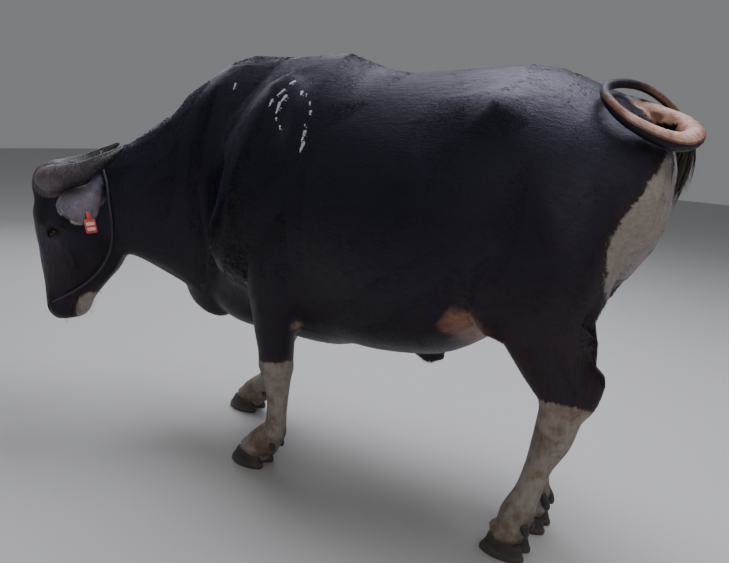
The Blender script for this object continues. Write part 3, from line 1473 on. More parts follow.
def on_leg(co, rows):
    """Whether each point is on a leg, and how far it is behind the leg's middle."""
    middle_x, middle_y = bend_of(rows, co[:, 2])
    off = np.hypot((co[:, 0] - middle_x) * 0.6, co[:, 1] - middle_y)
    return (off < 0.085) & (co[:, 2] < 0.6), co[:, 0] - middle_x


def pale_distance(co):
    """How far inside the edge of a pale marking each point is; less than 0 is outside."""
    side_way = np.where(co[:, 1] > 0, 1, 0)
    table = np.array(RUMP_EDGE)
    edge = np.interp(co[:, 2], table[:, 0], table[:, 1]) - 0.012 - 0.06 * side_way
    rump = np.minimum(np.minimum(co[:, 0] - edge, co[:, 2] - 0.745), 1.13 - co[:, 2])
    inner = np.minimum(np.minimum(co[:, 0] - 0.955, 0.105 - np.abs(co[:, 1])), 0.9 - co[:, 2])
    inner = np.minimum(inner, co[:, 2] - 0.6)
    pale = np.maximum(rump, inner)
    for side in (LEFT, RIGHT):
        here, dx = on_leg(co, fore_leg_rows(side))
        edge = 0.392 + 0.2 * np.abs(dx + 0.01) - 0.05 * dx
        pale = np.where(here, np.maximum(pale, edge - co[:, 2]), pale)
        here, dx = on_leg(co, hind_leg_rows(side))
        edge = 0.492 - 0.3 * np.clip(dx - 0.03, 0, 1) - 0.12 * np.clip(-dx, 0, 1)
        pale = np.where(here, np.maximum(pale, edge - co[:, 2]), pale)
    places = head_places(co)
    off = (places[:, :2] - (0.487, -0.088)) / (0.06, 0.046)
    chin = (1 - np.linalg.norm(off, axis=1)) * 0.045
    chin = np.where(on_the_head(co), chin, -1)
    return np.clip(np.maximum(pale, chin), -0.2, 0.2)


def tail_place(co):
    """Whether each point belongs to the tail, and its share along it."""
    near_tail = (co[:, 0] > 0.93) & (co[:, 2] > 1.08) & (np.abs(co[:, 1]) < 0.24)
    far, share = np.full(len(co), 9.0), np.zeros(len(co))
    far[near_tail], share[near_tail] = line_distance(co[near_tail], tail_path[::4])
    radius = np.interp(share, np.linspace(0, 1, len(tail_radii)), tail_radii)
    return (far < radius + 0.006) & (share > 0.1) & ((co[:, 2] > 1.185) | (share > 0.24)), share


COIL_MIDDLE = np.array((1.075, -0.06, 1.235))


def tail_bare(co, normal):
    """Bare tan skin on the inside of the tail's coil, most at its thick end."""
    on_tail, share = tail_place(co)
    inward = unit(COIL_MIDDLE + (0, 0, 0.08) - co)
    facing = (normal * inward).sum(1) * 0.8 + normal[:, 2] * 0.5
    root = step(share, 0.08, 0.12) * (1 - step(share, 0.2, 0.26)) * step(normal[:, 2], -0.1, 0.5)
    thick_end = step(share, 0.13, 0.2) * (1 - step(share, 0.46, 0.62))
    late = 0.45 * step(share, 0.66, 0.74) * (1 - step(share, 0.86, 0.94))
    around = np.maximum(thick_end * step(facing, -0.95, -0.3), late * step(facing, -0.6, 0.05))
    return np.maximum(around, root) * on_tail


def flank_tan(co):
    """Thin warm skin in the fold between belly and thigh, in the groin and behind the elbow."""
    folded = both_sides(co, 1)
    fold = bell(folded, (0.725, 0.235, 0.645), (0.05, 0.09, 0.05))
    groin = bell(folded, (0.8, 0.08, 0.64), (0.14, 0.11, 0.1))
    armpit = bell(folded, (0.165, 0.19, 0.52), (0.022, 0.04, 0.022))
    pouch = bell(folded, (0.905, 0.0, 0.6), (0.055, 0.06, 0.16))
    return np.clip((1.3 * fold + 1.1 * groin + 0.6 * armpit) * (1 - 0.8 * pouch), 0, 0.78)


def brown_share(co):
    """The black warms to brown low on the belly, down the hind legs and round the rump patch."""
    low = 1 - step(co[:, 2], 0.5, 0.95)
    behind = step(co[:, 0], 0.55, 1.05)
    return np.clip(0.35 * low + 0.75 * low * behind + 0.25 * behind * (1 - step(co[:, 2], 0.9, 1.2)), 0, 1)


def ear_share(co):
    """1 on the ears, 0 away from them."""
    share = np.zeros(len(co))
    for side in (LEFT, RIGHT):
        out, back, across = (np.array(way) for way in ear_axes(side))
        rel = co - np.array(ear_root(side))
        along = rel @ out
        off = np.hypot(rel @ back, rel @ across)
        here = (off < 0.036 + 0.45 * np.clip(along, 0, 0.1)) & (along < EAR_LENGTH + 0.02)
        share = np.maximum(share, step(along, 0.02, 0.045) * here)
    return share


def bare_share(co):
    """Hairless dark skin: the nose pad, the rims of the lids, the lips' edge and the vent."""
    places = both_sides(head_places(co))
    down, ahead, out = places.T
    pad = step(down, 0.436, 0.452) * step(ahead, -0.012, 0.004) * (1 - step(out, 0.052, 0.066))
    lip = bell(places, (0.5, -0.012, 0.0), (0.012, 0.012, 0.06))
    vent = bell(co, (1.138, 0.0, 1.112), (0.04, 0.014, 0.024))
    rims = np.zeros(len(co))
    for side in (LEFT, RIGHT):
        axis, along, up = (np.array(way) for way in eye_plane(side))
        rel = co - np.array(eye_centre(side))
        u, v = rel @ along, rel @ up
        oval = np.sqrt((u / 0.0225) ** 2 + (v / 0.0135) ** 2)
        rims = np.maximum(rims, (1 - step(oval, 0.92, 1.18)) * (rel @ axis > 0.004))
    rims = rims * (np.linalg.norm(co - np.array(POLL), axis=1) < 0.5)
    return np.where(on_the_head(co), np.clip(np.maximum.reduce([pad, lip, rims]), 0, 1), vent)


def boss_share(co):
    """The rough horny shield between the horns and round their bases."""
    places = both_sides(head_places(co))
    down, ahead, out = places.T
    between = (1 - step(down, 0.045, 0.08)) * step(ahead, -0.02, 0.02) * (1 - step(out, 0.095, 0.115))
    collar = 1 - step(np.linalg.norm(places - (0.036, 0.006, 0.07), axis=1), 0.05, 0.078)
    return np.where(on_the_head(co), np.maximum(between, collar * (ahead > -0.05)), 0)


def upright_share(co):
    """1 where the coat lies downwards, on the head and the legs; 0 where it lies backwards."""
    head = step(before_jaw(head_places(co)), -0.06, 0.03)
    return np.maximum(head, 1 - step(co[:, 2], 0.55, 0.8))


def grey_share(co):
    """Greyer, dustier hair: the backs of the ears, round the eyes and along the nose."""
    places = both_sides(head_places(co))
    face = bell(places, (0.235, 0.02, 0.09), (0.06, 0.05, 0.05))
    face += 0.6 * bell(places, (0.33, 0.03, 0.04), (0.1, 0.05, 0.05))
    face = np.where(on_the_head(co), face, 0) * 0.35
    return np.clip(np.maximum(ear_share(co), face), 0, 1)


def markings(co, normal):
    on_tail, share = tail_place(co)
    pale = np.where(on_tail, -0.1, pale_distance(co))
    return {
        "pale": pale,
        "fleck": fleck_distance(co),
        "tan": np.maximum(tail_bare(co, normal), np.where(on_tail, 0, flank_tan(co))),
        "brown": np.where(on_tail, 0.25, brown_share(co)),
        "grey": grey_share(co),
        "bare": bare_share(co),
        "boss": boss_share(co),
        "upright": upright_share(co),
    }


skin_numbers = markings(points_of(skin.data), normals_of(skin.data))
keep_numbers(skin.data, skin_numbers)
print("markings", ", ".join(f"{name} {values.max():.2f}" for name, values in skin_numbers.items()))

# %% [markdown]
# Hair follows a lie: backwards over neck and trunk, down the legs, down the face, out along the ears and
# along the tail. The lie is one field of directions, laid flat on the skin at every root.

# %% Lie of the coat
def lie_of(co, normal):
    back = np.tile((0.93, 0.0, -0.36), (len(co), 1))
    back[:, 2] -= 0.5 * (1 - step(co[:, 2], 0.75, 1.15))
    down = np.tile((0.1, 0.0, -1.0), (len(co), 1))
    neck_way = np.tile((0.8, 0.5, -0.2), (len(co), 1))
    upright = upright_share(co)[:, None]
    neck = (1 - step(co[:, 0], -0.45, -0.15))[:, None] * (1 - upright)
    lie = back * (1 - neck) + neck_way * neck
    lie = lie * (1 - upright) + down * upright
    on_face = on_the_head(co)
    lie[on_face] = NOSE
    on_tail, share = tail_place(co)
    path, ways = np.array(tail_path), np.array(directions(tail_path))
    for k in np.flatnonzero(on_tail):
        lie[k] = ways[np.argmin(((path - co[k]) ** 2).sum(1))]
    for side in (LEFT, RIGHT):
        out = np.array(ear_axes(side)[0])
        rel = co - np.array(ear_root(side))
        along = rel @ out
        on_ear = (along > 0.01) & (np.linalg.norm(rel - along[:, None] * out, axis=1) < 0.075)
        lie[on_ear & (along < EAR_LENGTH + 0.02)] = out
    lie = lie - normal * (lie * normal).sum(1, keepdims=True)
    return unit(lie)


# %% [markdown]
# The coat and the skin share one unwrap, named OFBake. It is made on the skin, and each tuft of hair is
# then a tiny patch of that map at the place of its own root, so a colour baked for the tuft is the
# colour of the skin it grows from.

# %% Unwrap the skin
def unwrap(obj, map_name):
    obj.data.uv_layers.new(name=map_name)
    for other in bpy.context.view_layer.objects:
        other.select_set(False)
    bpy.context.view_layer.objects.active = obj
    obj.select_set(True)
    bpy.ops.object.mode_set(mode="EDIT")
    bpy.ops.mesh.select_all(action="SELECT")
    bpy.ops.uv.smart_project(angle_limit=math.radians(66), island_margin=0.003)
    bpy.ops.object.mode_set(mode="OBJECT")
    obj.select_set(False)


unwrap(skin, BAKE_MAP)
print("unwrap made")

# %% [markdown]
# Roots are strewn over the skin at random, more of them where the coat is denser or breaks the outline.
# The seed is fixed, so every run grows the same coat.

# %% Strew the roots
def skin_table():
    mesh = skin.data
    mesh.calc_loop_triangles()
    count = len(mesh.loop_triangles)
    corners = np.empty(count * 3, int)
    mesh.loop_triangles.foreach_get("vertices", corners)
    loops = np.empty(count * 3, int)
    mesh.loop_triangles.foreach_get("loops", loops)
    areas = np.empty(count)
    mesh.loop_triangles.foreach_get("area", areas)
    places = np.empty(len(mesh.loops) * 2)
    mesh.uv_layers[BAKE_MAP].data.foreach_get("uv", places)
    return corners.reshape(-1, 3), loops.reshape(-1, 3), areas, places.reshape(-1, 2)


corner_points, corner_loops, face_areas, map_places = skin_table()
skin_co, skin_no = points_of(skin.data), normals_of(skin.data)
print("skin area", round(face_areas.sum(), 2), "square metres")


def strew(count, weight, seed):
    """Roots on the skin, as many to each face as its area times its weight asks for."""
    draw = np.random.default_rng(seed)
    chance = face_areas * weight[corner_points].mean(1)
    pick = draw.choice(len(face_areas), count, p=chance / chance.sum())
    a, b = draw.random(count), draw.random(count)
    a, b = np.where(a + b > 1, 1 - a, a), np.where(a + b > 1, 1 - b, b)
    mix = np.stack([1 - a - b, a, b], 1)[:, :, None]
    corners = corner_points[pick]
    root = (skin_co[corners] * mix).sum(1)
    normal = unit((skin_no[corners] * mix).sum(1))
    place = (map_places[corner_loops[pick]] * mix).sum(1)
    numbers = {name: (values[corners] * mix[:, :, 0]).sum(1) for name, values in skin_numbers.items()}
    return root, normal, place, numbers, draw


def tufts(name, count, weight, seed, length_of, width_of, lift, steps=2, droop=0.0, stray=0.16):
    root, normal, place, numbers, draw = strew(count, weight, seed)
    lie = lie_of(root, normal)
    side_way = np.cross(normal, lie)
    lie = unit(lie + side_way * draw.normal(0, stray, count)[:, None])
    rise = lift * draw.uniform(0.5, 1.5, count)[:, None]
    start = unit(lie + normal * rise)
    end = unit(lie + normal * rise * 0.15 + np.array((0, 0, -droop)))
    spread = draw.uniform(0.7, 1.25, count)
    length = length_of(root, numbers) * spread
    width = width_of(root, numbers) * draw.uniform(0.7, 1.3, count)
    flat = unit(normal + side_way * draw.normal(0, 0.35, count)[:, None])
    shine = unit(normal * 0.75 + flat * 0.35)
    piece = blades(name, root - normal * 0.0006, start, end, length, width, flat, steps, place, shine)
    keep_on_blades(piece, steps, {**numbers, "shade": draw.random(count)})
    return piece


# %% [markdown]
# Short fur that lies flat reads mostly from the grain in the skin's finish. Over it lie real tufts on
# every side, thin and overlapping, that follow the lie: shortest on the face, longer on trunk and neck.
# They catch the light one by one and break the hard outline of the skin.

# %% Short coat
def zones(co):
    """Shares of each part of the body, for the roots to be strewn by."""
    head = on_the_head(co) & (bare_share(co) < 0.5) & (boss_share(co) < 0.5)
    ears = ear_share(co) > 0.5
    tail, share = tail_place(co)
    inside = np.zeros(len(co), bool)
    for side in (LEFT, RIGHT):
        inside |= np.linalg.norm(co - np.array(eye_centre(side)), axis=1) < EYE_RADIUS + 0.001
    legs = (co[:, 2] < 0.52) & ~on_the_head(co)
    soles = co[:, 2] < 0.035
    rest = ~(on_the_head(co) | ears | tail | legs)
    return {
        "head": head & ~ears & ~inside,
        "ears": ears & ~inside,
        "tail": tail,
        "legs": legs & ~soles,
        "neck": rest & (co[:, 0] < 0.02),
        "trunk": rest & (co[:, 0] >= 0.02) & (co[:, 0] < 0.62),
        "quarters": rest & (co[:, 0] >= 0.62),
    }


def constant(value):
    return lambda co, numbers: np.full(len(co), value)


zone = zones(skin_co)
coat = []
for label, count, length, width, lift, stray in (
    ("head", 52000, 0.0052, 0.00085, 0.2, 0.14),
    ("ears", 16000, 0.007, 0.0009, 0.25, 0.18),
    ("tail", 14000, 0.008, 0.0011, 0.24, 0.14),
    ("legs", 60000, 0.007, 0.0011, 0.2, 0.14),
    ("neck", 56000, 0.0105, 0.0015, 0.17, 0.14),
    ("trunk", 62000, 0.0105, 0.0016, 0.14, 0.12),
    ("quarters", 60000, 0.01, 0.0015, 0.16, 0.13),
):
    name, seed = f"coat_{label}", 100 + len(coat)
    coat.append(tufts(name, count, zone[label], seed, constant(length), constant(width), lift, stray=stray))
print("short coat", sum(len(piece.data.polygons) for piece in coat), "faces")

# %% [markdown]
# Where the coat is long enough to break the form it gets tufts of its own: the crest of the neck, the
# brisket, the line of the belly and sheath, the backs of the thighs, the fetlocks and the poll.

# %% Longer tufts
def long_hair(co):
    """Extra length in metres, and where it grows at all."""
    folded = both_sides(co, 1)
    crest = 0.01 * hump(co[:, 1], 0, 0.05) * (co[:, 0] < 0.25) * (normal_up > 0.4)
    brisket = 0.014 * bell(folded, (-0.28, 0.02, 0.5), (0.16, 0.07, 0.13))
    sheath = 0.026 * bell(folded, (0.5, 0.0, 0.445), (0.05, 0.03, 0.03))
    belly = 0.01 * bell(folded, (0.25, 0.0, 0.43), (0.4, 0.06, 0.05))
    thigh = 0.012 * bell(folded, (1.02, 0.14, 0.7), (0.06, 0.08, 0.2))
    places, on_head_now = head_places(co), on_the_head(co)
    poll = 0.016 * bell(places, (-0.01, -0.06, 0.0), (0.035, 0.05, 0.05)) * on_head_now
    jaw = 0.007 * bell(both_sides(places), (0.33, -0.2, 0.0), (0.15, 0.06, 0.04)) * on_head_now
    fetlock = np.zeros(len(co))
    for side in (LEFT, RIGHT):
        for foot, behind in ((FORE_FOOT[side], 0.088), (HIND_FOOT[side], 0.048)):
            spot = np.array(foot) + (behind, 0, 0.118)
            fetlock = np.maximum(fetlock, 0.016 * hump(np.linalg.norm(co - spot, axis=1), 0, 0.036))
    hair_line = 0.009 * hump(co[:, 2], 0.058, 0.01) * (co[:, 2] > 0.03)
    return np.maximum.reduce([crest, brisket, sheath, belly, thigh, poll, jaw, fetlock, hair_line])


normal_up = skin_no[:, 2]
extra = long_hair(skin_co)
skin_numbers["extra"] = extra
long_piece = tufts(
    "coat_long_tufts",
    38000,
    step(extra, 0.003, 0.01) * (bare_share(skin_co) < 0.4) * (boss_share(skin_co) < 0.4),
    211,
    lambda co, numbers: 0.006 + numbers["extra"],
    constant(0.0011),
    0.34,
    steps=3,
    droop=0.35,
    stray=0.22,
)
del skin_numbers["extra"]
coat.append(long_piece)
print("longer tufts", len(long_piece.data.polygons), "faces")

# %% [markdown]
# Some hair grows from a line rather than an area: the fringe round the ear, the lashes and the long
# feelers of the chin. Their roots are set one by one and each is given the colours and the map place of
# the nearest skin.

# %% Set hair
skin_triangles = BVHTree.FromPolygons(skin_co.tolist(), corner_points.tolist())


def nearest_skin(roots):
    """Map place and stored numbers of the skin nearest to each root."""
    found = [skin_triangles.find_nearest(Vector(point))[2] for point in roots]
    place = map_places[corner_loops[found]].mean(1)
    numbers = {name: values[corner_points[found]].mean(1) for name, values in skin_numbers.items()}
    return place, numbers


def set_hair(name, strands, length, width, steps=4, changed=None):
    """Blades whose strands are given as root, way, fall and the normal of the broad side."""
    root, way, fall, flat = (np.array(column) for column in strands)
    place, numbers = nearest_skin(root)
    numbers.update(changed or {})
    piece = blades(name, root, unit(way), unit(fall), length, width, unit(flat), steps, place)
    numbers["shade"] = np.random.default_rng(len(root)).random(len(root))
    keep_on_blades(piece, steps, numbers)
    return piece


EAR_ROWS = smooth_stations(EAR_STATIONS, 12)


def on_cup(side, share_range, edge_range, draw):
    """A random spot on the ear: arc, radius, thickness, place across, way outwards, way to the edge."""
    back, across = ear_axes(side)[1:]
    share, half, curl = EAR_ROWS[int(draw.uniform(*share_range) * (len(EAR_ROWS) - 1))]
    edge = draw.choice((-1, 1)) * draw.uniform(*edge_range)
    turn = curl * edge * CUP_TURN
    outward = across * math.sin(turn) + back * math.cos(turn)
    sideways = (across * math.cos(turn) - back * math.sin(turn)) * math.copysign(1, edge)
    return *cup_station(side, share, half, curl), edge, outward, sideways


def ear_fringe(side, count, seed):
    draw = np.random.default_rng(seed)
    out = ear_axes(side)[0]
    strands = []
    for _ in range(count):
        centre, radius, thick, edge, outward, sideways = on_cup(side, (0.08, 1.0), (0.9, 1.0), draw)
        root = centre + outward * (radius - 0.0012) - sideways * 0.002
        way = sideways * draw.uniform(0.5, 1.2) + out * draw.uniform(0.2, 0.9)
        way += outward * draw.normal(0, 0.25)
        strands.append((root, way, out * 1.0 + sideways * 0.3 + Vector((0, 0, -0.5)), outward))
    length, width = draw.uniform(0.005, 0.012, count), draw.uniform(0.0005, 0.001, count)
    pale = {"pale": np.full(count, 0.05), "grey": np.zeros(count), "bare": np.zeros(count)}
    return set_hair(f"ear_fringe_{SIDE_NAME[side]}", zip(*strands), length, width, 4, pale)


def ear_inside(side, count, seed):
    """Soft hair over the mouth of the cup, rooted inside its front wall."""
    draw = np.random.default_rng(seed)
    out = ear_axes(side)[0]
    strands = []
    for _ in range(count):
        centre, radius, thick, edge, outward, sideways = on_cup(side, (0.12, 0.85), (0.35, 0.95), draw)
        root = centre + outward * (radius - thick * (1 - CUP_THINNING * edge * edge) + 0.0008)
        way = -outward * 0.5 - sideways * 0.9 + out * draw.uniform(0.2, 0.8)
        strands.append((root, way, out - sideways * 0.5 + outward * draw.normal(0, 0.2), outward))
    length, width = draw.uniform(0.012, 0.026, count), draw.uniform(0.0007, 0.0013, count)
    colour = {"grey": np.full(count, 1.0), "bare": np.zeros(count)}
    return set_hair(f"ear_inside_{SIDE_NAME[side]}", zip(*strands), length, width, 4, colour)


def lashes(side, count, seed):
    draw = np.random.default_rng(seed)
    axis, along, up = eye_plane(side)
    strands = []
    for _ in range(count):
        lift = 1 if draw.random() < 0.78 else -1
        turn = draw.uniform(0.18, 0.82) * math.pi * lift
        u, v = 0.0175 * math.cos(turn), (0.0112 if lift > 0 else 0.0092) * math.sin(turn)
        depth = math.sqrt((EYE_RADIUS + LID_THICK) ** 2 - u * u - v * v)
        root = eye_centre(side) + along * u + up * v + axis * (depth - 0.0012)
        way = axis + up * lift * 0.25 + along * (u * 18 + draw.normal(0, 0.1))
        strands.append((root, way, axis * 0.7 + up * lift * 0.9 + along * u * 26 - up * 0.15, up))
    length, width = draw.uniform(0.008, 0.015, count), draw.uniform(0.00035, 0.0006, count)
    return set_hair(f"lashes_{SIDE_NAME[side]}", zip(*strands), length, width, 5)


def feelers(count, seed):
    """Stiff single hairs on chin and lips."""
    draw = np.random.default_rng(seed)
    places = head_places(skin_co)
    chosen = on_the_head(skin_co) & (places[:, 0] > 0.43) & (places[:, 1] < 0.0) & (bare_share(skin_co) < 0.6)
    pick = draw.choice(np.flatnonzero(chosen), count)
    out = skin_no[pick] + draw.normal(0, 0.25, (count, 3))
    fall = out * 0.6 + np.array((0, 0, -0.8))
    length, width = draw.uniform(0.01, 0.028, count), draw.uniform(0.0004, 0.0007, count)
    flat = np.cross(out, draw.normal(0, 1, (count, 3)))
    return set_hair("chin_feelers", (skin_co[pick], out, fall, flat), length, width)


for side in (LEFT, RIGHT):
    coat += [ear_fringe(side, 1500, 31 + side), ear_inside(side, 900, 41 + side), lashes(side, 90, 51 + side)]
coat.append(feelers(160, 61))
print("set hair", sum(len(piece.data.polygons) for piece in coat[8:]), "faces")

# %% [markdown]
# The switch is the brush at the end of the tail. It is long hair, so it is mesh: blades that leave the
# last hand of the tail all round and fall under their own weight. The brush hangs on the far side of the
# rump, and a few strands have strayed round behind it.

# %% Tail switch
def tail_switch(name, count, leave, fall, lengths, width, seed):
    """Hair from the last part of the tail; leave says how strongly it starts outwards."""
    draw = np.random.default_rng(seed)
    frames = tail_frames[TAIL_STEPS * (SWITCH_STATION - 1) :]
    pick = (draw.random(count) ** 0.8 * (len(frames) - 1)).astype(int)
    angle = draw.random(count) * 2 * math.pi
    point, way, up = (np.array(column)[pick] for column in zip(*frames))
    out = np.cross(way, up) * np.sin(angle)[:, None] + up * np.cos(angle)[:, None]
    length = draw.uniform(*lengths, count)
    fall = np.array(fall) + draw.normal(0, 0.08, (count, 3))
    flat = out + draw.normal(0, 0.3, (count, 3))
    wide = width * draw.uniform(0.6, 1.3, count)
    return set_hair(name, (point + out * 0.008, way * 1.4 + out * leave, fall, flat), length, wide, 7)


overlap = tail_end - TAIL_STEPS // 2
switch_core = tube("tail_switch_core", tail_path[overlap:], tail_radii[overlap:], 16)
unwrap(switch_core, BAKE_MAP)
switch_hair = [
    tail_switch("tail_switch_brush", 1500, 0.5, (-0.42, 0.02, -1.0), (0.1, 0.19), 0.0042, 5),
    tail_switch("tail_switch_strays", 34, 0.3, (0.46, -0.1, -1.0), (0.07, 0.105), 0.0022, 6),
]
print("switch", sum(len(piece.data.polygons) for piece in switch_hair), "faces")

# %% [markdown]
# The halter is one rope from nostril to nostril over the crown. Its way is found on the skin itself:
# rays shot from outside touch the hide, and rounds of averaging then pull the rope taut wherever the
# skin leaves room. Three strands laid in a helix make it read as rope.

# %% Halter
ROPE_RADIUS = 0.004
ROPE_CLEAR = 0.0022
ROPE_STEP = 0.0025
CROWN = (0.0, -0.175)
HALTER_PATH = [
    (0.015, -0.182),
    (0.1, -0.198),
    (0.22, -0.205),
    (0.31, -0.218),
    (0.366, -0.208),
    (0.408, -0.135),
    (0.424, -0.075),
    (0.428, -0.015),
    (0.446, 0.018),
]


def lies_on(tree, middle, way):
    hit = tree.ray_cast(middle + way * 0.5, -way)[0]
    if hit is None:
        hit = tree.find_nearest(middle + way * 0.12)[0]
    return hit + way * ROPE_RADIUS


def halter_half(side, tree):
    points = []
    centre = on_head(*CROWN)
    for i in range(6):
        angle = math.pi / 2 * i / 5
        points.append(lies_on(tree, centre, -NOSE * math.cos(angle) + CHEEK * -side * math.sin(angle)))
    for down, forward in smooth_stations(HALTER_PATH, 3):
        points.append(lies_on(tree, on_head(down, forward), CHEEK * -side))
    points.append(on_head(0.466, 0.036, -side * 0.047))
    points.append(on_head(0.472, 0.036, -side * 0.041))
    return points


def pull_taut(points, tree, clear):
    for _ in range(80):
        moved = [points[0]]
        for before, here, after in zip(points, points[1:], points[2:]):
            point = here * 0.4 + (before + after) * 0.3
            touch, normal, _, distance = tree.find_nearest(point)
            if (point - touch).dot(normal) < 0 or distance < clear:
                point = touch + normal * clear
            moved.append(point)
        moved.append(points[-1])
        points = moved
    return points


def even_path(points, step):
    """The same path with its points an even step apart."""
    dense = [Vector(row) for row in smooth_stations(points, 8)]
    gone = np.concatenate([[0], np.cumsum([(b - a).length for a, b in zip(dense, dense[1:])])])
    count = int(gone[-1] / step)
    marks = np.linspace(0, gone[-1], count)
    return [Vector(row) for row in np.stack([np.interp(marks, gone, line) for line in np.array(dense).T], 1)]


def twisted_rope(name, path):
    strands, lay = 3, 0.03
    frames = carried_frames(path)
    step = (path[1] - path[0]).length
    rings = []
    for i, (point, way, up) in enumerate(frames):
        across = way.cross(up)
        turn = 2 * math.pi * i * step / lay
        ring = []
        for k in range(24):
            angle = 2 * math.pi * k / 24
            bulge = abs(math.cos(strands * (angle - turn) / 2)) ** 0.7
            radius = ROPE_RADIUS * (0.76 + 0.24 * bulge)
            ring.append(point + (across * math.sin(angle) + up * math.cos(angle)) * radius)
        rings.append(ring)
    return loft(name, rings)


skin_tree = tree_of(skin)
left_half, right_half = halter_half(LEFT, skin_tree), halter_half(RIGHT, skin_tree)
rope_route = pull_taut(left_half[::-1] + right_half[1:], skin_tree, ROPE_RADIUS + ROPE_CLEAR)
rope_path = even_path(rope_route, ROPE_STEP)
halter = twisted_rope("halter", rope_path)
print("halter", round(len(rope_path) * ROPE_STEP, 2), "m of rope")

# %% [markdown]
# The ear tag is a moulded plate on the back of the ear, held by a pin with a button inside the cup. The
# plate has a thin raised rim and two paler raised bars where a farm would have its marks.

# %% Ear tag
TAG_STATION, TAG_EDGE = 4, 0.62
TAG_WIDTH, TAG_LENGTH, TAG_THICK, TAG_OFF = 0.042, 0.062, 0.0016, 0.0015


def tag_place(side):
    out, back, across = ear_axes(side)
    share, half, curl = EAR_STATIONS[TAG_STATION]
    centre, radius, thick = cup_station(side, share, half, curl)
    lower = -1 if across.z > 0 else 1
    turn = curl * CUP_TURN * TAG_EDGE * lower
    way = across * math.sin(turn) + back * math.cos(turn)
    return centre + way * radius, centre + way * (radius - thick), way


tag_outside, tag_inside, tag_way = tag_place(LEFT)
tag_down = Vector((0, 0, -1))
tag_down = (tag_down - tag_way * tag_down.dot(tag_way)).normalized()
tag_across = tag_way.cross(tag_down)


def plate(name, outline, bottom, top, round_by):
    """A flat plate over the ear's back, with its edges rounded."""
    rings = []
    for lift in (bottom, top):
        rings.append([tag_outside + tag_way * lift + tag_across * a + tag_down * b for a, b in outline])
    piece = loft(name, rings)
    edge = piece.modifiers.new("edge", "BEVEL")
    edge.width = round_by
    edge.segments = 3
    edge.limit_method = "ANGLE"
    apply_modifiers(piece)
    return piece


def rounded_box(left, right, top, base, corner, steps=5):
    outline = []
    for x, y, start in ((right, top, -90), (right, base, 0), (left, base, 90), (left, top, 180)):
        cx = x - math.copysign(corner, x - (left + right) / 2)
        cy = y - math.copysign(corner, y - (top + base) / 2)
        for k in range(steps + 1):
            angle = math.radians(start + 90 * k / steps)
            outline.append((cx + corner * math.cos(angle), cy + corner * math.sin(angle)))
    return outline


def rod(name, start, end, radius):
    way = (end - start).normalized()
    up = way.orthogonal().normalized()
    ends = (start, end)
    return loft(name, [ring_at(end, way.cross(up), up, radius, radius, radius, sides=24) for end in ends])


TAG_FACE = TAG_OFF + TAG_THICK
plate_outline = rounded_box(-TAG_WIDTH / 2, TAG_WIDTH / 2, 0.017, TAG_LENGTH, 0.006)
neck_outline = rounded_box(-0.008, 0.008, -0.008, 0.02, 0.004)
tag_plate = plate("tag_plate", plate_outline, TAG_OFF, TAG_FACE, 0.0005)
tag_neck = plate("tag_neck", neck_outline, TAG_OFF, TAG_FACE, 0.0005)
tag_bars = []
for k, (top, base) in enumerate(((0.027, 0.037), (0.044, 0.054))):
    bar = rounded_box(-TAG_WIDTH / 2 + 0.006, TAG_WIDTH / 2 - 0.006, top, base, 0.002)
    tag_bars.append(plate(f"tag_bar_{k}", bar, TAG_FACE - 0.0003, TAG_FACE + 0.0004, 0.0002))
tag_button = rod("tag_button", tag_inside - tag_way * TAG_FACE, tag_inside - tag_way * TAG_OFF, 0.01)
tag_pin = rod("tag_pin", tag_inside - tag_way * 0.0023, tag_outside + tag_way * 0.0028, 0.0014)
ear_tag = joined("ear_tag_plate", [tag_plate, tag_neck, tag_button, tag_pin])
ear_tag_bars = joined("ear_tag_bars", tag_bars)

# %% [markdown]
# Finishes are built from small shader groups. Each group takes a few named numbers, works out how a
# colour, a mask or a height changes over the surface, and is then placed in as many materials as need
# it. A field stands for such a changing value, so that the sums can be written as plain sums.

# %% Shader helpers
class Field:
    """A value that changes over the surface; sums with it add nodes to its tree."""

    def __init__(self, tree, socket):
        self.tree, self.socket = tree, socket

    def __add__(self, other):
        return combined("ADD", self, other)

    def __sub__(self, other):
        return combined("SUBTRACT", self, other)

    def __rsub__(self, other):
        return combined("SUBTRACT", other, self)

    def __mul__(self, other):
        return combined("MULTIPLY", self, other)

    def __truediv__(self, other):
        return combined("DIVIDE", self, other)

    def __rtruediv__(self, other):
        return combined("DIVIDE", other, self)

    def fade(self, start, end, low=0.0, high=1.0):
        """Rises smoothly from low to high as the value goes from start to end."""
        values = {0: self, 1: start, 2: end, 3: low, 4: high}
        return add_node(self.tree, "MapRange", values, interpolation_type="SMOOTHSTEP")

    def blend(self, a, b, how="MIX"):
        """From one colour to another as the value goes from 0 to 1."""
        return add_node(self.tree, "Mix", {0: self, 6: a, 7: b}, 2, data_type="RGBA", blend_type=how)


def feed(socket, value):
    """Links a field to a socket; any other value is set on it."""
    if isinstance(value, Field):
        value.tree.links.new(value.socket, socket)
    else:
        socket.default_value = value


def add_node(tree, kind, values, output=0, **settings):
    made = tree.nodes.new("ShaderNode" + kind)
    for key, value in settings.items():
        setattr(made, key, value)
    for key, value in values.items():
        feed(made.inputs[key], value)
    return Field(tree, made.outputs[output])


def combined(operation, *values):
    tree = next(value.tree for value in values if isinstance(value, Field))
    return add_node(tree, "Math", dict(enumerate(values)), operation=operation)


def own_place(tree):
    return Field(tree, tree.nodes.new("ShaderNodeTexCoord").outputs["Object"])


def number(tree, name):
    """A number stored on the mesh's own points."""
    return add_node(tree, "Attribute", {}, "Fac", attribute_name=name)


def height_of(place):
    return add_node(place.tree, "SeparateXYZ", {0: place}, 2)


def stretched(place, scale):
    return add_node(place.tree, "Mapping", {"Vector": place, "Scale": scale})


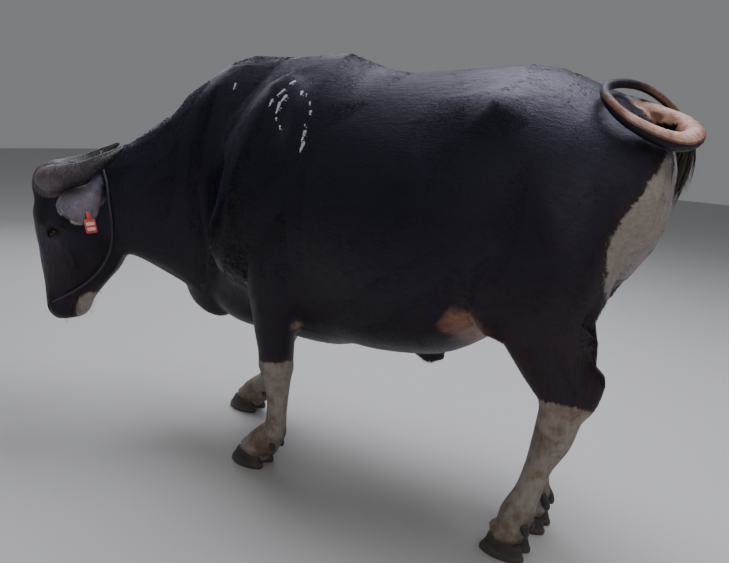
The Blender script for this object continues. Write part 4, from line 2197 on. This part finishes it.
def noise(place, scale, detail=3.0, rough=0.55):
    values = {"Vector": place, "Scale": scale, "Detail": detail, "Roughness": rough}
    return add_node(place.tree, "TexNoise", values)


def bump(height, strength, distance):
    return add_node(height.tree, "Bump", {"Height": height, "Strength": strength, "Distance": distance})


def shader_group(name, inputs, outputs):
    """An empty group with number inputs and the given outputs: its tree, its inputs, its outputs."""
    tree = bpy.data.node_groups.new(name, "ShaderNodeTree")
    for label, value in inputs.items():
        tree.interface.new_socket(label, in_out="INPUT", socket_type="NodeSocketFloat").default_value = value
    for label, kind in outputs.items():
        tree.interface.new_socket(label, in_out="OUTPUT", socket_type="NodeSocket" + kind)
    sources = tree.nodes.new("NodeGroupInput").outputs
    results = tree.nodes.new("NodeGroupOutput").inputs
    return tree, {label: Field(tree, sources[label]) for label in inputs}, results


def placed(tree, group, values):
    """A shader group set into a tree: its outputs by name."""
    made = add_node(tree, "Group", values, node_tree=group).socket.node
    return {socket.name: Field(tree, socket) for socket in made.outputs}


def material(name, constants):
    """A material with its plain settings: itself, its tree and its shader's inputs."""
    made = bpy.data.materials.new(name)
    made.use_nodes = True
    shader = made.node_tree.nodes["Principled BSDF"].inputs
    for label, value in constants.items():
        shader[label].default_value = value
    return made, made.node_tree, shader


# %% [markdown]
# Short hair seen from a step away is a fine streaky grain. Noise stretched along the hair gives it. The
# group makes one grain that runs backwards and one that runs down, and fades between them.

# %% Shader group: hair grain
hair_grain, into, out = shader_group(
    "hair_grain", {"Upright": 0.0, "Fineness": 1.0}, {"Height": "Float", "Strand": "Float"}
)
grains = []
for stretch in ((0.16, 1.0, 0.75), (1.0, 1.0, 0.14)):
    mapped = stretched(own_place(hair_grain), stretch)
    fine = noise(mapped, into["Fineness"] * 520.0, 2.0)
    wide = noise(mapped, into["Fineness"] * 130.0, 3.0)
    grains.append({"Height": wide * 1.4 + fine, "Strand": wide})
backward, downward = grains
for label in backward:
    feed(out[label], (downward[label] - backward[label]) * into["Upright"] + backward[label])

# %% [markdown]
# The colours of the coat: blue-black, warmed to brown low down, pale in the markings with a ragged edge
# and earth stains, tan where the skin is thin and bare, and black and moist on the nose pad.

# %% Shader group: coat colours
MARKS = ("Pale", "Fleck", "Tan", "Brown", "Grey", "Bare", "Boss")
coat_colours, into, out = shader_group(
    "coat_colours",
    {**dict.fromkeys(MARKS, 0.0), "Pale": -1.0, "Fleck": -1.0, "Strand": 0.5},
    {"Color": "Color", "Roughness": "Float", "Fur": "Float"},
)
place_now = own_place(coat_colours)
streak = into["Strand"] - 0.5
ragged = noise(place_now, 42.0, 4.0, 0.6) - 0.5
stain = noise(place_now, 14.0, 5.0, 0.65)

edge = streak * 0.016 + (ragged * 0.014 + into["Pale"])
pale_mask = edge.fade(-0.004, 0.005)
warm = into["Brown"] * noise(place_now, 5.5, 4.0).fade(0.25, 0.65, 0.45, 1.0)
dark = warm.blend((0.006, 0.0058, 0.01, 1), (0.027, 0.013, 0.0085, 1))
dark = (edge.fade(-0.04, 0.0) * 0.6).blend(dark, (0.032, 0.018, 0.011, 1))
stained = stain.fade(0.42, 0.72) * height_of(place_now).fade(0.45, 0.75, 1.0, 0.25)
pale = stained.blend((0.315, 0.275, 0.235, 1), (0.175, 0.115, 0.066, 1))
specks = noise(place_now, 95.0, 2.0).fade(0.66, 0.74, 0.0, 0.28)
pale = specks.blend(pale, (0.07, 0.048, 0.034, 1))
colour = (into["Grey"] * 0.85).blend(dark, (0.135, 0.112, 0.128, 1))
colour = pale_mask.blend(colour, pale)

blotch = stain.fade(0.35, 0.65)
flank_skin = blotch.blend((0.32, 0.165, 0.092, 1), (0.18, 0.084, 0.046, 1))
tail_skin = blotch.blend((0.72, 0.47, 0.36, 1), (0.44, 0.23, 0.15, 1))
tan_mask = (ragged * 0.35 + into["Tan"]).fade(0.18, 0.62)
colour = tan_mask.blend(colour, into["Tan"].fade(0.8, 0.95).blend(flank_skin, tail_skin))
bare_mask = (ragged * 0.2 + into["Bare"]).fade(0.35, 0.6)
colour = bare_mask.blend(colour, (0.0105, 0.0092, 0.01, 1))
boss_mask = (ragged * 0.9 + into["Boss"]).fade(0.35, 0.75)
horny = stain.fade(0.35, 0.62).blend((0.125, 0.096, 0.102, 1), (0.036, 0.028, 0.031, 1))
colour = boss_mask.blend(colour, horny)
crumbs = noise(place_now, 260.0) - 0.5
fleck_mask = (crumbs * 0.006 + into["Fleck"]).fade(-0.0004, 0.0014)
colour = fleck_mask.blend(colour, (0.52, 0.52, 0.56, 1))

light = into["Strand"].fade(0.3, 0.7, 0.8, 1.22)
light = add_node(coat_colours, "CombineColor", {0: light, 1: light, 2: light})
feed(out["Color"], (pale_mask * -0.45 + 1.0).blend(colour, light, "MULTIPLY"))
gloss = into["Strand"].fade(0.3, 0.7, 0.52, 0.42)
gloss = pale_mask * 0.28 + fleck_mask * 0.3 + bare_mask * -0.12 + boss_mask * 0.22 + gloss
feed(out["Roughness"], gloss)
feed(out["Fur"], 1.0 - combined("MAXIMUM", combined("MAXIMUM", bare_mask, boss_mask), tan_mask * 0.7))

# %% [markdown]
# Bare skin is not smooth: it is a net of small raised cells, largest on the nose pad, with fine
# wrinkles across it. A cell texture gives the net.

# %% Shader group: skin cells
skin_cells, into, out = shader_group("skin_cells", {"Size": 0.003}, {"Height": "Float"})
place_now = own_place(skin_cells)
scale = 1.0 / into["Size"]
values = {"Vector": place_now, "Scale": scale, "Smoothness": 0.35}
cells = add_node(skin_cells, "TexVoronoi", values, "Distance", feature="SMOOTH_F1")
feed(out["Height"], cells * -0.8 + noise(place_now, scale * 0.35, 3.0))

# %% [markdown]
# A working animal is never clean. Dried earth clings to the feet and thins out upwards, and a little
# dust lies on whatever faces the sky.

# %% Shader group: dried earth
dried_earth, into, out = shader_group("dried_earth", {"Amount": 1.0, "Reach": 0.3}, {"Mask": "Float"})
lowness = 1.0 - height_of(add_node(dried_earth, "NewGeometry", {}, "Position")) / into["Reach"]
level = (noise(own_place(dried_earth), 26.0, 6.0, 0.65) - 0.62) * 2.6 + lowness
feed(out["Mask"], level.fade(0.0, 1.1) * into["Amount"])
EARTH = (0.125, 0.088, 0.06, 1)

# %% [markdown]
# The skin's material and the hair's are the same groups with other values: the skin has its grain as
# bump, the hair is real mesh and only varies from tuft to tuft. The soft bluish bloom of a sleek black
# coat is sheen, whose settings are plain constants.

# %% Coat materials
def coat_material(name, on_hair):
    made, tree, shader = material(name, {
        "Sheen Weight": 0.05 if on_hair else 0.07,
        "Sheen Roughness": 0.35,
        "Sheen Tint": (0.5, 0.52, 1.0, 1),
        "Specular IOR Level": 0.42,
        "Specular Tint": (0.74, 0.71, 1.0, 1),
    })
    grain = placed(tree, hair_grain, {"Upright": number(tree, "upright"), "Fineness": 1.0})
    strand = grain["Strand"]
    if on_hair:
        strand = number(tree, "shade") * 0.32 + (strand * 0.6 + 0.04)
    marks = {label: number(tree, label.lower()) for label in MARKS}
    coat = placed(tree, coat_colours, {**marks, "Strand": strand})
    earth = placed(tree, dried_earth, {"Amount": 0.75, "Reach": 0.26})["Mask"]
    feed(shader["Base Color"], earth.blend(coat["Color"], EARTH))
    feed(shader["Roughness"], earth * 0.25 + coat["Roughness"])
    if not on_hair:
        cells = placed(tree, skin_cells, {"Size": 0.0032})["Height"]
        relief = grain["Height"] * coat["Fur"] + cells * (1.0 - coat["Fur"])
        feed(shader["Normal"], bump(relief, 0.55, 0.0012))
    return made


skin_finish = coat_material("skin_and_short_coat", False)
hair_finish = coat_material("coat_hair", True)

switch_finish, tree, shader = material("switch_hair", {})
strand = placed(tree, hair_grain, {"Upright": 1.0, "Fineness": 0.6})["Strand"]
feed(shader["Base Color"], strand.fade(0.3, 0.7).blend((0.01, 0.009, 0.01, 1), (0.06, 0.04, 0.026, 1)))
feed(shader["Roughness"], strand.fade(0.3, 0.7, 0.38, 0.55))

# %% [markdown]
# Horn and hoof are the same stuff. Both show growth rings and fine fibres that run the long way, horn is
# lighter and rougher at its base, and hoof is caked with earth from below.

# %% Shader group and materials: horn and hoof
FULL_TURN = 6.283
horn_grain, into, out = shader_group(
    "horn_grain", {"Tipward": 0.5, "Rings": 40.0}, {"Fibre": "Float", "Height": "Float"}
)
place_now = own_place(horn_grain)
turn = into["Tipward"] * into["Rings"] + noise(place_now, 22.0, 3.0) * 3.0
rings = combined("SINE", turn * FULL_TURN)
fibre = noise(place_now, 170.0, 4.0, 0.6)
feed(out["Fibre"], fibre)
feed(out["Height"], fibre * 0.9 + rings * into["Tipward"].fade(0.75, 0.1, 0.05, 0.35))


def horn_material(name, base, middle, tip, rings, rough, earth_share):
    made, tree, shader = material(name, {})
    tipward = number(tree, "tipward")
    grain = placed(tree, horn_grain, {"Tipward": tipward, "Rings": rings})
    reach = (noise(own_place(tree), 34.0, 5.0, 0.65) - 0.5) * 0.45 + tipward
    colour = reach.fade(0.05, 0.5).blend(base, middle)
    colour = reach.fade(0.4, 0.7).blend(colour, tip)
    colour = grain["Fibre"].fade(0.42, 0.72, 0.0, 0.35).blend(colour, base)
    earth = placed(tree, dried_earth, {"Amount": earth_share, "Reach": 0.1})["Mask"]
    feed(shader["Base Color"], earth.blend(colour, EARTH))
    gloss = tipward.fade(0.2, 0.9) * -0.14 + (grain["Fibre"] * 0.22 + rough)
    feed(shader["Roughness"], earth * 0.25 + gloss)
    feed(shader["Normal"], bump(grain["Height"], 0.8, 0.002))
    return made


horn_finish = horn_material(
    "horn", (0.19, 0.148, 0.168, 1), (0.038, 0.031, 0.038, 1), (0.0065, 0.006, 0.0095, 1), 26.0, 0.46, 0.0
)
hoof_finish = horn_material(
    "hoof", (0.044, 0.036, 0.038, 1), (0.028, 0.025, 0.029, 1), (0.06, 0.05, 0.048, 1), 9.0, 0.42, 0.45
)

# %% [markdown]
# A bull's eye is nearly all iris: dark brown, with a long level pupil of deep blue and a thin brownish
# white at the corners. The wet cornea is a clear coat over it.

# %% Eye material
cornea = {"Specular IOR Level": 0.15, "Coat Weight": 1.0, "Coat Roughness": 0.03, "Coat IOR": 1.36}
eye_finish, tree, shader = material("eye", cornea)
across, rise = number(tree, "eye_across"), number(tree, "eye_rise")
reach = combined("SQRT", across * across + rise * rise)
flat_rise = rise * 1.9
oval = combined("SQRT", across * across + flat_rise * flat_rise)
spokes = noise(own_place(tree), 900.0, 3.0)
iris = spokes.fade(0.35, 0.7).blend((0.02, 0.0095, 0.0052, 1), (0.06, 0.028, 0.012, 1))
iris = reach.fade(0.0105, 0.0145).blend(iris, (0.0085, 0.005, 0.004, 1))
veins = noise(own_place(tree), 420.0, 4.0)
white = veins.fade(0.5, 0.66).blend((0.21, 0.15, 0.115, 1), (0.13, 0.045, 0.032, 1))
colour = reach.fade(0.0146, 0.016).blend(iris, white)
feed(shader["Base Color"], oval.fade(0.0096, 0.0086).blend(colour, (0.0022, 0.0026, 0.0046, 1)))
feed(shader["Roughness"], veins.fade(0.3, 0.7, 0.16, 0.28))

# %% [markdown]
# The rope is old dark nylon, dull with dirt. The tag is moulded plastic, a little bleached, with
# scratches that catch the light.

# %% Rope and tag materials
rope_finish, tree, shader = material("rope", {})
fibres = noise(own_place(tree), 900.0, 3.0)
grime = noise(own_place(tree), 38.0, 4.0)
colour = fibres.fade(0.3, 0.7).blend((0.022, 0.024, 0.034, 1), (0.075, 0.078, 0.1, 1))
feed(shader["Base Color"], grime.fade(0.4, 0.68, 0.0, 0.75).blend(colour, (0.04, 0.034, 0.028, 1)))
feed(shader["Roughness"], fibres.fade(0.3, 0.7, 0.66, 0.86))
feed(shader["Normal"], bump(fibres, 0.5, 0.0006))


def plastic(name, clean, worn):
    made, tree, shader = material(name, {})
    scratches = noise(stretched(own_place(tree), (1, 1, 0.08)), 900.0, 2.0)
    dull = noise(own_place(tree), 120.0, 4.0)
    feed(shader["Base Color"], dull.fade(0.4, 0.7).blend(clean, worn))
    feed(shader["Roughness"], scratches.fade(0.35, 0.7, 0.3, 0.62))
    feed(shader["Normal"], bump(dull * 0.5 + scratches, 0.25, 0.0003))
    return made


tag_finish = plastic("tag_plastic", (0.46, 0.045, 0.04, 1), (0.33, 0.06, 0.052, 1))
bar_finish = plastic("tag_bar_plastic", (0.64, 0.42, 0.36, 1), (0.48, 0.3, 0.25, 1))
print("finishes", len(bpy.data.materials), "materials,", len(bpy.data.node_groups), "groups")

# %% [markdown]
# Every piece was drawn in the bull's own metres. One helper moves a finished mesh to the frame, gives it
# its finish, lets it ride with the body and says which plain nodes it stands for.

# %% Place the pieces
pieces = []


def place(obj, finish, slot, *nodes):
    obj.data.transform(Matrix.Translation(SHIFT))
    obj.data.shade_smooth()
    obj.data.update()
    obj.data.materials.clear()
    obj.data.materials.append(finish)
    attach(obj, "root")
    if nodes:
        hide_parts(*nodes)
    pieces.append(obj)


FLESH = ["torso", "scrotum", "head", "neck", "tail_root", "tail_bend", "tail_middle", "tail_end"]
for side in SIDE_NAME.values():
    FLESH += [f"fore_leg_{side}", f"hind_leg_{side}", f"ear_{side}"]
place(skin, skin_finish, "coat", *FLESH)
for piece in coat:
    place(piece, hair_finish, "coat")
place(switch_core, switch_finish, "coat")
place(switch_hair[0], switch_finish, "coat", "tail_switch")
place(switch_hair[1], switch_finish, "coat")
for piece in dewclaws:
    place(piece, hoof_finish, "hoof")
for side in (LEFT, RIGHT):
    place(horns[side], horn_finish, "horn", f"horn_{SIDE_NAME[side]}")
    place(eyes[side], eye_finish, "eye", f"eye_{SIDE_NAME[side]}")
for solid, piece in claws.items():
    place(piece, hoof_finish, "hoof", solid)
place(halter, rope_finish, "rope", "halter_left", "halter_right")
place(ear_tag, tag_finish, "tag", "ear_tag")
place(ear_tag_bars, bar_finish, "tag")
print("placed", len(pieces), "pieces")
